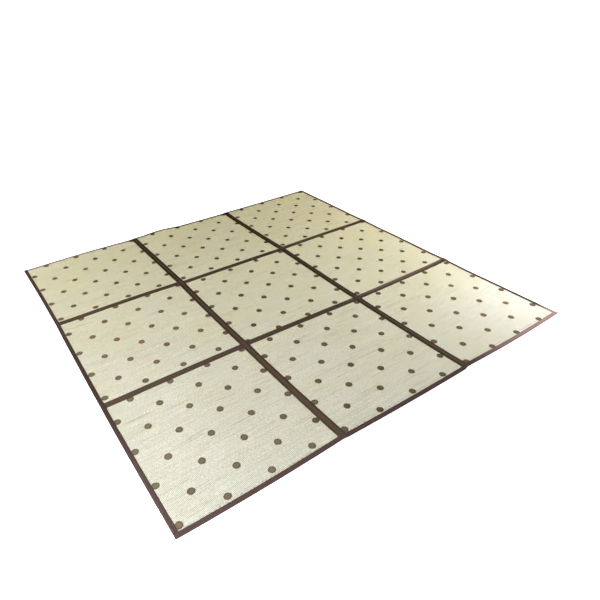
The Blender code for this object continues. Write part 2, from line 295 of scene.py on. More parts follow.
    def joined(self, height: Callable[[int, Array, Array], Array], x: Array, y: Array) -> Array:
        """A height that runs smoothly from strip to strip, for what lies across a long seam.

        Args:
            height: a height of one strip, lift or under.
            x: the points' X.
            y: the points' Y.

        Returns:
            The height at each point, blended over a few mm at the seams.
        """
        result = height(0, x, y)
        for seam in (1, 2):
            away = x - self.long_line(seam, y)
            share = smooth_step(away, -self.seam_blend, self.seam_blend)
            result = result + (height(seam, x, y) - result) * share
        return result

    def floor(self, x: Array, y: Array) -> Array:
        """Height that the whole mat is raised by, for a tape's lower fold."""
        return self.joined(self.lift, x, y)

    def face(self, x: Array, y: Array) -> Array:
        """Height of the rush's upper face."""
        return self.joined(self.under, x, y) + self.rush

    def edge_y(self, line: int, x: Array) -> Array:
        """Y of the front or back edge, blended at the long tapes where the strips' ends differ."""
        ends = np.full(np.shape(x), self.grid(line))
        result = self.cross_line(line, 0, self.share_across(0, x, ends))
        for seam in (1, 2):
            away = x - self.long_line(seam, ends)
            share = smooth_step(away, -self.long_tape_half, self.long_tape_half)
            beyond = self.cross_line(line, seam, self.share_across(seam, x, ends))
            result += (beyond - result) * share
        return result

    def over_tapes(self, away: Array, half_width: float) -> Array:
        """What a sheet rises to pass over a tape whose middle is this far away."""
        past = np.maximum(0.0, np.abs(away) - half_width)
        return self.step * (1 - smooth_step(past, self.ramp_start, self.ramp + self.ramp_room))


FORM = MatForm()


# Node trees.


class Patch(NamedTuple):
    """A soft oval on the mat: its middle, its reach along X and Y, and its strength."""

    x: float
    y: float
    reach_x: float
    reach_y: float
    strength: float


def maths_of(operation: str, turned: bool = False) -> Callable[..., "Wire"]:
    """A method of Wire that makes one Math node, with its terms turned round where asked."""

    def method(wire: "Wire", *others: Term) -> "Wire":
        """The operation's result for this socket and the others."""
        terms = (wire, *others)
        return wire.maths(operation, *(terms[::-1] if turned else terms))

    return method


class Wire:
    """One socket of a node tree, with Python's operators for its maths.

    least and most are the smaller and the larger of two, fraction is what is left above the whole
    number below, and sine takes radians.
    """

    def __init__(self, tree: "NodeMaker", socket: bpy.types.NodeSocket) -> None:
        self.tree = tree
        self.socket = socket

    def maths(self, operation: str, *terms: Term) -> "Wire":
        """A Math node on these terms."""
        return self.tree.add("ShaderNodeMath", {"operation": operation}, dict(enumerate(terms)))

    __add__ = __radd__ = maths_of("ADD")
    __sub__ = maths_of("SUBTRACT")
    __rsub__ = maths_of("SUBTRACT", turned=True)
    __mul__ = __rmul__ = maths_of("MULTIPLY")
    __truediv__ = maths_of("DIVIDE")
    __pow__ = maths_of("POWER")
    __abs__ = maths_of("ABSOLUTE")
    floor = maths_of("FLOOR")
    fraction = maths_of("FRACT")
    sine = maths_of("SINE")
    root = maths_of("SQRT")
    least = maths_of("MINIMUM")
    most = maths_of("MAXIMUM")

    def step(self, low: Term, high: Term) -> "Wire":
        """A smooth rise from 0 at low to 1 at high."""
        ends = {"Value": self, "From Min": low, "From Max": high}
        return self.tree.add("ShaderNodeMapRange", {"interpolation_type": "SMOOTHSTEP"}, ends)


class NodeMaker:
    """Adds nodes to one tree."""

    def __init__(self, tree: bpy.types.NodeTree) -> None:
        self.tree = tree

    def add(self, kind: str, settings: dict, inputs: dict, output: int | str = 0) -> Wire:
        """Adds a node.

        Args:
            kind: the node's type.
            settings: its properties, which are set first.
            inputs: a value or a Wire for each socket, by name or number.
            output: the output that is wanted.

        Returns:
            That output.
        """
        node = self.tree.nodes.new(kind)
        for name, value in settings.items():
            setattr(node, name, value)
        for key, value in inputs.items():
            if isinstance(value, Wire):
                self.tree.links.new(value.socket, node.inputs[key])
            else:
                node.inputs[key].default_value = value
        return Wire(self, node.outputs[output])

    def parts(self, vector: Wire) -> tuple[Wire, Wire, Wire]:
        """X, Y and Z of a vector."""
        first = self.add("ShaderNodeSeparateXYZ", {}, {0: vector})
        outputs = first.socket.node.outputs
        return first, Wire(self, outputs[1]), Wire(self, outputs[2])

    def vector(self, x: Term, y: Term, z: Term = 0.0) -> Wire:
        """A vector from its parts."""
        return self.add("ShaderNodeCombineXYZ", {}, {0: x, 1: y, 2: z})

    def chance(self, x: Term, y: Term, z: Term = 0.0) -> Wire:
        """A number from 0 to 1 that jumps from cell to cell."""
        settings = {"noise_dimensions": "3D"}
        return self.add("ShaderNodeTexWhiteNoise", settings, {"Vector": self.vector(x, y, z)})

    def clouds(self, where: Wire, detail: float = 2.0) -> Wire:
        """Soft noise about 0.5, with one lump to a unit of the vector."""
        inputs = {"Vector": where, "Scale": 1.0, "Detail": detail}
        return self.add("ShaderNodeTexNoise", {}, inputs)

    def blend(self, share: Term, first: "Wire | Colour", second: "Wire | Colour") -> Wire:
        """A colour that is share of the way from the first to the second."""
        ends = [end if isinstance(end, Wire) else (*end, 1.0) for end in (first, second)]
        inputs = {0: share, 6: ends[0], 7: ends[1]}
        return self.add("ShaderNodeMix", {"data_type": "RGBA"}, inputs, 2)

    def scaled(self, colour: Wire, by: Term) -> Wire:
        """A colour made lighter or darker."""
        return self.add("ShaderNodeVectorMath", {"operation": "SCALE"}, {0: colour, 3: by})

    def patches(self, x: Wire, y: Wire, ovals: Iterable[Patch]) -> Term:
        """How strongly a point lies within soft ovals."""
        total: Term = 0.0
        for oval in ovals:
            off_x = (x - oval.x) / oval.reach_x
            off_y = (y - oval.y) / oval.reach_y
            total = (1 - off_x * off_x - off_y * off_y).most(0.0) * oval.strength + total
        return total


@dataclass(frozen=True)
class Surface:
    """What a finish feeds its Principled shader with."""

    colour: Wire
    roughness: Wire
    height: Wire
    depth: float
    specular: float


def shaded(name: str, surface_of: Callable[[NodeMaker], Surface]) -> bpy.types.Material:
    """A material with one Principled shader.

    Args:
        name: the material's name.
        surface_of: makes the nodes and says what they feed.

    Returns:
        The material.
    """
    material = bpy.data.materials.new(name)
    material.use_nodes = True
    make = NodeMaker(material.node_tree)
    surface = surface_of(make)
    shader = material.node_tree.nodes["Principled BSDF"]
    shader.inputs["Specular IOR Level"].default_value = surface.specular
    bump = make.add("ShaderNodeBump", {}, {"Distance": surface.depth, "Height": surface.height})
    for socket, wire in (
        ("Base Color", surface.colour),
        ("Roughness", surface.roughness),
        ("Normal", bump),
    ):
        material.node_tree.links.new(wire.socket, shader.inputs[socket])
    return material


def shape_tree(
    name: str, numbers: Iterable[str], seed_kind: str
) -> tuple[NodeMaker, dict[str, Wire]]:
    """Starts a tree that takes a shape, some numbers, a seed and a finish.

    Args:
        name: the tree's name.
        numbers: the names of its number inputs.
        seed_kind: Float or Int.

    Returns:
        What adds nodes to the tree, and its inputs by name.
    """
    tree = bpy.data.node_groups.new(name, "GeometryNodeTree")
    inputs = [("Geometry", "Geometry"), *((number, "Float") for number in numbers)]
    for label, kind in (*inputs, ("Seed", seed_kind), ("Finish", "Material")):
        tree.interface.new_socket(label, in_out="INPUT", socket_type=f"NodeSocket{kind}")
    tree.interface.new_socket("Geometry", in_out="OUTPUT", socket_type="NodeSocketGeometry")
    make = NodeMaker(tree)
    given = tree.nodes.new("NodeGroupInput")
    return make, {socket.name: Wire(make, socket) for socket in given.outputs if socket.name}


def finished_tree(make: NodeMaker, shape: Wire, finish: Wire) -> bpy.types.NodeTree:
    """Ends a tree, which gives the shape as one real mesh with its finish."""
    whole = make.add("GeometryNodeRealizeInstances", {}, {0: shape})
    done = make.add("GeometryNodeSetMaterial", {}, {"Geometry": whole, "Material": finish})
    result = make.tree.nodes.new("NodeGroupOutput")
    make.tree.links.new(done.socket, result.inputs[0])
    return make.tree


# Finishes.


@dataclass(frozen=True)
class DotPattern:
    """Round dots on every other place of a lattice, as the dyed stems are woven in."""

    across: float = 0.0786
    along: float = 0.07775
    radius: float = 0.0129
    middle: float = 3.5

    def nearest(self, make: NodeMaker, s: Wire, t: Wire) -> tuple[Wire, Wire, Wire, Wire]:
        """How far a point is from the nearest dot, along s and t, and that dot's two numbers."""
        column = s / self.across + self.middle
        line = self.middle - t / self.along
        first = (column + line - 1) / 2
        second = (column - line + 1) / 2
        first_dot = (first + 0.5).floor()
        second_dot = (second + 0.5).floor()
        off_first = first - first_dot
        off_second = second - second_dot
        off_s = (off_first + off_second) * self.across
        off_t = (off_first - off_second) * self.along
        return off_s, off_t, first_dot, second_dot


@dataclass(frozen=True)
class RushWeave:
    """The sizes of the weave: stems along s that are bound into slanting ropes."""

    stem: float = 0.00096
    rope: float = 0.0046
    slope: float = 0.30
    relief: float = 0.00045
    crest: float = 0.00012
    dots: DotPattern = DotPattern()


WEAVE = RushWeave()
WEAVE_MAP = "Weave"


class Stems(NamedTuple):
    """What a point of the weave shows.

    bulge and crown are how high the rope and the stem stand there, hollow is how deep it lies in a
    gap, where painted shade darkens the colour, tuft where a warp thread comes up, and dyed where a
    dot is, all from 0 to 1. away is the distance from the dot's middle, dot has the dot's two
    numbers, and float_luck is the stem's chance number where it floats over this rope.
    """

    bulge: Wire
    crown: Wire
    gap_shade: Wire
    tuft: Wire
    dyed: Wire
    away: Wire
    dot: tuple[Wire, Wire]
    float_luck: Wire


class Grain(NamedTuple):
    """Soft noises over the rush: broad ones, bands and streaks along the stems, and fine lines."""

    slow: Wire
    band: Wire
    streak: Wire
    fine: Wire


@dataclass(frozen=True)
class RushFinish:
    """Natural rush, pale green to straw, with dyed brown stems in the dots."""

    pale: Colour = (0.722, 0.713, 0.587)
    straw: Colour = (0.700, 0.625, 0.350)
    # Near-black colour of painted shade in the gaps between stems; the hem's sewn line uses it too.
    gap_shade: Colour = (0.072, 0.066, 0.032)
    warp: Colour = (0.62, 0.60, 0.46)
    dye_dark: Colour = (0.022, 0.016, 0.005)
    dye_brown: Colour = (0.078, 0.062, 0.021)
    dye_red_and_glare: Colour = (0.300, 0.110, 0.030)
    # Grey of some dots' own tone, and of the painted sheen on the dots near the left edge.
    dye_grey_and_sheen: Colour = (0.185, 0.155, 0.098)
    # The left middle oval is the dots' own red tint; the front right one is painted glare.
    red_tint_and_glare_spots: tuple[Patch, ...] = (
        Patch(-0.62, 0.00, 0.30, 0.26, 1.0), Patch(0.72, -0.62, 0.26, 0.24, 0.9),
    )
    # Painted glare: a paler oval by the front right corner.
    pale_spots: tuple[Patch, ...] = (Patch(0.84, -0.78, 0.42, 0.40, 0.38),)
    gap_width: float = 0.72
    warp_width: float = 0.00032
    hem: float = 0.020
    hem_line: tuple[float, float] = (0.0006, 0.0019)
    wander: float = 0.0007
    ragged: float = 0.0032
    dot_edge: float = 0.0003
    depth: float = 0.0007
    shine: float = 0.10
    weave: RushWeave = WEAVE

    def stems(self, make: NodeMaker, s: Wire, t: Wire, panel: Wire) -> Stems:
        """The stems, which run along s and float over a rope between two places where they dive.

        Args:
            make: adds nodes to the material.
            s: the way along the stems, in metres.
            t: the way across them.
            panel: the panel's chance number.

        Returns:
            What there is at the point.
        """
        weave = self.weave
        wander = make.clouds(make.vector(s * 30, t * 90, panel * 20))
        row = (t + (wander - 0.5) * self.wander) / weave.stem
        stem = row.floor()
        beside = row - stem
        climb = (t - s * weave.slope) / weave.rope + (make.chance(stem, panel) - 0.5) * 0.14
        rope = climb.floor()
        over = climb - rope
        float_luck = make.chance(stem, rope, panel)

        dots = weave.dots
        off_s, off_t, *dot = dots.nearest(make, s, (stem + 0.5) * weave.stem)
        ragged = off_s + (make.chance(stem, *dot) - 0.5) * self.ragged
        away = (ragged * ragged + off_t * off_t).root()
        dyed = 1 - away.step(dots.radius - self.dot_edge, dots.radius + self.dot_edge)

        bulge = (over * math.pi).sine().most(0.0)
        bulge = bulge + (0.8 - bulge) * dyed
        half = (1.0 - self.gap_width * (1 - bulge) ** 1.65) * (0.94 + float_luck * 0.10)
        sideways = abs(beside - 0.5) * 2 / half
        crown = (1 - sideways * sideways).most(0.0).root()
        from_dive = over.least(1 - over) * (weave.rope / weave.slope)
        tuft = 1 - from_dive.step(self.warp_width * 0.8, self.warp_width * 1.6)
        tuft = tuft * (1 - abs(beside - 0.62).step(0.16, 0.34)) * (1 - dyed)
        # This mask sets where painted shade darkens the gaps, and how rough they are.
        gap_shade = (1 - crown.step(0.05, 0.50)) * (1 - tuft)
        gap_shade = gap_shade * (1 - bulge.step(0.30, 0.98) * 0.70)
        return Stems(bulge, crown, gap_shade, tuft, dyed, away, tuple(dot), float_luck)

    def rush(self, make: NodeMaker, x: Wire, y: Wire, stems: Stems, grain: Grain) -> Wire:
        """The colour of the plain rush, with warp threads, the hem's sewn line and painted gap
        shade.

        Args:
            make: adds nodes to the material.
            x: the point's X.
            y: the point's Y.
            stems: the stems there.
            grain: the noises there.

        Returns:
            The colour.
        """
        # Painted light: the rush turns paler towards the front left and yellower towards the back
        # and right; the noises add its own uneven tone.
        straw_and_light = 0.5 + x * 0.17 + y * 0.30 + (grain.slow - 0.5) * 0.6 + (grain.band - 0.5) * 0.4
        straw_and_light = straw_and_light - (grain.streak - 0.5) * 0.6 + (stems.float_luck - 0.5) * 0.3
        # Painted glare pales the rush by the front right corner.
        straw_and_light = straw_and_light - make.patches(x, y, self.pale_spots)
        colour = make.blend(straw_and_light, self.pale, self.straw)
        tone = (stems.float_luck - 0.5) * 0.18 + (grain.fine - 0.5) * 0.30
        tone = tone + (grain.streak - 0.5) * 0.26 + (grain.band - 0.5) * 0.14
        tone = tone - ((0.40 - grain.streak) * 1.7).most(0.0).least(0.15)
        # Painted shade: the rush is darker where a rope sinks towards its dives and lighter on its
        # crest.
        colour = make.scaled(colour, (1 + tone) * (0.74 + stems.bulge * 0.30))
        # Painted shade: the gaps between stems are darkened towards a near-black colour.
        colour = make.blend(stems.gap_shade, colour, self.gap_shade)
        colour = make.blend(stems.tuft * 0.8, colour, self.warp)
        from_hem = abs(y + FORM.pitch * 1.5 - self.hem + (grain.slow - 0.5) * 0.004)
        dashes = (make.clouds(make.vector(x * 95, 0.0, 6.0)) - 0.46).most(0.0) * 5
        hem = (1 - from_hem.step(*self.hem_line)) * dashes.least(0.55)
        return make.blend(hem, colour, self.gap_shade)

    def dye(
        self, make: NodeMaker, x: Wire, y: Wire, panel: Wire, stems: Stems, grain: Grain
    ) -> Wire:
        """The dyed stems' colour: brown, greyed near the left edge by painted sheen, red in places.

        Args:
            make: adds nodes to the material.
            x: the point's X.
            y: the point's Y.
            panel: the panel's chance number.
            stems: the stems there.
            grain: the noises there.

        Returns:
            The colour, with painted shade towards a dot's rim and a painted highlight in its middle.
        """
        dot_a, dot_b = stems.dot
        dot_luck = make.chance(dot_a, dot_b, panel)
        share = stems.float_luck * 0.5 + (grain.streak - 0.5) * 0.5 + dot_luck * 0.35 + 0.20
        # Painted light: the dots are a lighter brown towards the front left.
        brown = make.blend(share - y * 0.25 - x * 0.14, self.dye_dark, self.dye_brown)
        # Painted sheen greys the dots near the left edge, more towards the front; the chance and
        # grain terms are their own tone.
        near = (1 - x.step(-0.55, -0.15)) * (0.48 - y * 0.20)
        grey_and_sheen = near + (make.chance(dot_b, dot_a, 7.0) - 0.5) * 0.3 + (0.46 - grain.fine) * 2
        # Red from the dots' own tint, and from painted glare by the front right corner.
        red = make.patches(x, y, self.red_tint_and_glare_spots) * (0.15 + dot_luck * 0.5)
        red = red + ((grain.fine - 0.54) * 4).most(0.0).least(0.35)
        colour = make.blend(grey_and_sheen.most(0.0).least(0.75), brown, self.dye_grey_and_sheen)
        colour = make.blend(red.least(0.7), colour, self.dye_red_and_glare)
        # Painted highlight and shade: a dot is lighter in its middle, darker towards its rim, and
        # darker in the gaps between its stems.
        radius = self.weave.dots.radius
        rim = stems.away.step(radius * 0.45, radius)
        return make.scaled(colour, (1.13 - rim * 0.50) * (1 - stems.gap_shade * 0.75))

    def surface(self, make: NodeMaker) -> Surface:
        """The nodes of the woven rush.

        Args:
            make: adds nodes to the material.

        Returns:
            Its colour, roughness and bump.
        """
        s, t, _ = make.parts(make.add("ShaderNodeUVMap", {"uv_map": WEAVE_MAP}, {}))
        x, y, _ = make.parts(make.add("ShaderNodeTexCoord", {}, {}, "Object"))
        panel = make.chance((x / FORM.pitch + 0.5).floor(), (y / FORM.pitch + 0.5).floor())
        stems = self.stems(make, s, t, panel)
        grain = Grain(
            slow=make.clouds(make.vector(x * 5, y * 5, 3.0)),
            band=make.clouds(make.vector(s * 4, t * 70, panel * 40 + 3)),
            streak=make.clouds(make.vector(s * 7, t * 210, panel * 40)),
            fine=make.clouds(make.vector(s * 60, t * 1500, panel * 40 + 9)),
        )
        rush = self.rush(make, x, y, stems, grain)
        colour = make.blend(stems.dyed, rush, self.dye(make, x, y, panel, stems, grain))
        roughness = 0.55 + stems.gap_shade * 0.3 + (grain.fine - 0.5) * 0.2
        height = stems.bulge * 0.4 + stems.crown * 0.6 + stems.tuft * 0.15
        return Surface(colour, roughness, height, self.depth, self.shine)

    def material(self) -> bpy.types.Material:
        """The finish as a material."""
        return shaded("woven_rush", self.surface)


class StainOrGlare(NamedTuple):
    """A soft oval where the cloth has another colour, because it is stained or because painted glare
    washes it out.
    """

    where: Patch
    colour: Colour


@dataclass(frozen=True)
class ClothFinish:
    """Woven tape with fine ribs across it, lighter along its middle from wear and painted sheen,
    worn and stained in places, and washed out by painted glare in a few.

    lightness and slope say how light the cloth is in the mat's middle, and how much painted light
    lightens it towards the front left corner. middle is how strong the painted sheen along the
    tape's middle is.
    """

    name: str
    dark: Colour
    light: Colour
    half_width: float
    lightness: float
    slope: float
    middle: float = 0.0
    rubbed: Colour = (0.150, 0.110, 0.085)
    # Painted sheen where tapes cross: a lighter, purplish patch.
    crossing_sheen: Colour = (0.080, 0.042, 0.048)
    stains_and_glare: tuple[StainOrGlare, ...] = ()
    rib: float = 0.0008
    crossing_reach: tuple[float, float] = (0.010, 0.026)
    depth: float = 0.00022
    shine: float = 0.05

    def surface(self, make: NodeMaker) -> Surface:
        """The nodes of a tape, on its map of length and width in metres.

        Args:
            make: adds nodes to the material.

        Returns:
            Its colour, roughness and bump.
        """
        spot = make.add("ShaderNodeUVMap", {"uv_map": WEAVE_MAP}, {})
        along, across, _ = make.parts(spot)
        place = make.add("ShaderNodeTexCoord", {}, {}, "Object")
        x, y, _ = make.parts(place)
        rib = (along / self.rib).floor()
        on_rib = along / self.rib - rib
        cord = across / (self.rib * 0.6) + rib * 0.5
        on_cord = cord.fraction()
        thread = (on_rib * math.pi).sine() * (on_cord * math.pi).sine().root()
        luck = make.chance(rib, cord.floor())

        slow = make.clouds(make.vector(x * 9, y * 9, 1.0))
        wear = make.clouds(make.vector(along * 30, across * 220, 4.0))
        fluff = make.clouds(make.vector(along * 260, across * 500, 5.0))
        off_middle = abs(across) / self.half_width
        # Painted light: the cloth gets lighter towards the front left corner.
        front_left_light = (x + y) * -0.45
        body = (front_left_light * self.slope + self.lightness).most(0.06)
        # Painted sheen, with some wear, along the tape's raised middle, stronger towards the front
        # left.
        middle_wear_and_sheen = (front_left_light * 0.78 + 0.70 - body).most(0.0) * self.middle
        share = body + middle_wear_and_sheen * (1 - off_middle.step(0.12, 0.52))
        share = share + (wear - 0.5) * 0.5 + (slow - 0.5) * 0.35 + (luck - 0.5) * 0.3
        share = share - off_middle.step(0.60, 0.95) * 0.25
        colour = make.blend(share, self.dark, self.light)
        # Painted sheen: where tapes cross and stand up, the cloth turns a lighter purple.
        to_seam = abs(abs(x) - FORM.pitch / 2).most(abs(abs(y) - FORM.pitch / 2))
        crossing_sheen_share = (1 - to_seam.step(*self.crossing_reach)) * (0.16 + wear * 0.6)
        colour = make.blend(crossing_sheen_share, colour, self.crossing_sheen)
        rub = (fluff - 0.5) * 2.0 + (wear - 0.5) * 1.6 - 0.40
        colour = make.blend((rub * 0.5).most(0.0).least(0.4), colour, self.rubbed)
        # Each oval is stained cloth, or painted glare where light washes it out.
        for stain_or_glare in self.stains_and_glare:
            strength = make.patches(x, y, (stain_or_glare.where,)) * (0.72 + wear * 0.56)
            colour = make.blend(strength.least(1.0), colour, stain_or_glare.colour)
        # Painted shade: the cloth is darker between its threads and lighter on their crowns.
        colour = make.scaled(colour, 0.68 + thread * 0.46)
        roughness = 0.80 + (fluff - 0.5) * 0.2
        return Surface(colour, roughness, thread, self.depth, self.shine)

    def material(self) -> bpy.types.Material:
        """The finish as a material."""
        return shaded(self.name, self.surface)


@dataclass(frozen=True)
class ThreadFinish:
    """Sewing thread, a shade off the tape."""

    name: str = "sewing_thread"
    dark: Colour = (0.030, 0.020, 0.014)
    light: Colour = (0.085, 0.058, 0.044)
    twist: float = 0.0007
    depth: float = 0.00008
    shine: float = 0.2

    def surface(self, make: NodeMaker) -> Surface:
        """The nodes of the thread, with its twist on object coordinates."""
        place = make.add("ShaderNodeTexCoord", {}, {}, "Object")
        x, y, _ = make.parts(place)
        twist = ((x + y) * (2 * math.pi / self.twist)).sine() * 0.5 + 0.5
        slow = make.clouds(make.vector(x * 30, y * 30, 2.0))
        # Painted shade: the thread is darker in the grooves of its twist.
        colour = make.blend(twist * 0.5 + slow * 0.5, self.dark, self.light)
        return Surface(colour, 0.6 + slow * 0.2, twist, self.depth, self.shine)

    def material(self) -> bpy.types.Material:
        """The finish as a material."""
        return shaded(self.name, self.surface)


LONG_FINISH = ClothFinish(
    "long_tape_cloth", (0.022, 0.012, 0.003), (0.086, 0.056, 0.035), 0.0155,
    lightness=0.07, slope=1.4, middle=1.0,
)
CROSS_FINISH = ClothFinish(
    "cross_tape_cloth", (0.022, 0.012, 0.004), (0.086, 0.058, 0.038), 0.014,
    lightness=0.60, slope=0.6,
    stains_and_glare=(
        # Painted glare: the right front cross tape's far half is washed out pinkish.
        StainOrGlare(Patch(0.62, -0.288, 0.42, 0.032, 0.48), (0.28, 0.19, 0.135)),
        StainOrGlare(Patch(0.62, 0.303, 0.34, 0.030, 0.35), (0.16, 0.11, 0.050)),
        StainOrGlare(Patch(-0.02, -0.300, 0.30, 0.035, 0.30), (0.035, 0.022, 0.012)),
    ),
)
BINDING_FINISH = ClothFinish(
    "edge_binding_cloth", (0.030, 0.016, 0.010), (0.104, 0.066, 0.056), 0.0125,
    lightness=0.28, slope=0.6,
    stains_and_glare=(
        # Painted glare: the front binding is washed out pinkish towards the right corner.
        StainOrGlare(Patch(0.80, -0.905, 0.45, 0.100, 0.92), (0.290, 0.190, 0.165)),
        StainOrGlare(Patch(0.905, 0.15, 0.060, 0.98, 1.30), (0.100, 0.042, 0.028)),
        StainOrGlare(Patch(-0.905, -0.15, 0.050, 0.48, 0.80), (0.045, 0.026, 0.014)),
    ),
)
BACK_FINISH = ClothFinish(
    "back_binding_cloth", (0.030, 0.017, 0.008), (0.100, 0.066, 0.046), 0.0125,
    lightness=0.36, slope=0.5,
    stains_and_glare=(StainOrGlare(Patch(-0.76, 0.905, 0.44, 0.080, 0.75), (0.290, 0.205, 0.160)),),
)
THREAD_FINISH = ThreadFinish()


# Meshes.


def mesh_object(
    name: str, points: Array, faces: Iterable[Array], spots: Array | None = None
) -> bpy.types.Object:
    """Makes a smooth mesh object at the origin.

    Args:
        name: the object's name.
        points: one row of X, Y and Z for each point.
        faces: arrays of triangles or quads, one face a row.
        spots: the weave's map, one row for each point.

    Returns:
        The linked object.
    """
    faces = [block for block in faces if len(block)]
    sides = np.concatenate([np.full(len(block), block.shape[1]) for block in faces])
    loops = np.concatenate([block.ravel() for block in faces]).astype(np.int32)
    starts = np.concatenate([[0], np.cumsum(sides)[:-1]]).astype(np.int32)
    mesh = bpy.data.meshes.new(name)
    mesh.vertices.add(len(points))
    mesh.vertices.foreach_set("co", points.astype(np.float32).ravel())
    mesh.loops.add(len(loops))
    mesh.loops.foreach_set("vertex_index", loops)
    mesh.polygons.add(len(sides))
    mesh.polygons.foreach_set("loop_start", starts)
    mesh.update(calc_edges=True)
    mesh.validate()
    if spots is not None:
        layer = mesh.uv_layers.new(name=WEAVE_MAP)
        layer.uv.foreach_set("vector", spots[loops].astype(np.float32).ravel())
    mesh.shade_smooth()
    mesh.set_sharp_from_angle(angle=SHARP_ANGLE)
    piece = bpy.data.objects.new(name, mesh)
    bpy.context.scene.collection.objects.link(piece)
    return piece


def zipped(upper: Array, lower: Array, upper_at: Array, lower_at: Array) -> Array:
    """Triangles between two rows of points that run side by side, looked at from outside.

    Args:
        upper: the upper row's point numbers, from left to right.
        lower: the lower row's.
        upper_at: how far along each upper point is.
        lower_at: how far along each lower point is.

    Returns:
        The triangles, one a row.
    """
    faces = []
    i = j = 0
    while i < len(upper) - 1 or j < len(lower) - 1:
        ahead = j == len(lower) - 1 or (
            i < len(upper) - 1 and upper_at[i + 1] <= lower_at[j + 1]
        )
        if ahead:
            faces.append((upper[i], lower[j], upper[i + 1]))
            i += 1
        else:
            faces.append((upper[i], lower[j], lower[j + 1]))
            j += 1
    return np.array(faces)


def ring_faces(stations: int, ring: int) -> Array:
    """Quads of a tube of rings, which face out where the rings turn leftwards."""
    here = (np.arange(stations - 1)[:, None] * ring + np.arange(ring)[None]).ravel()
    after = (np.arange(stations - 1)[:, None] * ring + (np.arange(ring)[None] + 1) % ring).ravel()
    return np.stack([here, here + ring, after + ring, after], axis=1)


# Woven panels.


class Lie(NamedTuple):
    """How a panel's weave lies.

    dx and dy are how far its dots' middle is off the even grid, in mm. turn is how far it is turned
    and skew how far its t leans beyond that, in degrees.
    """

    dx: float
    dy: float
    turn: float
    skew: float


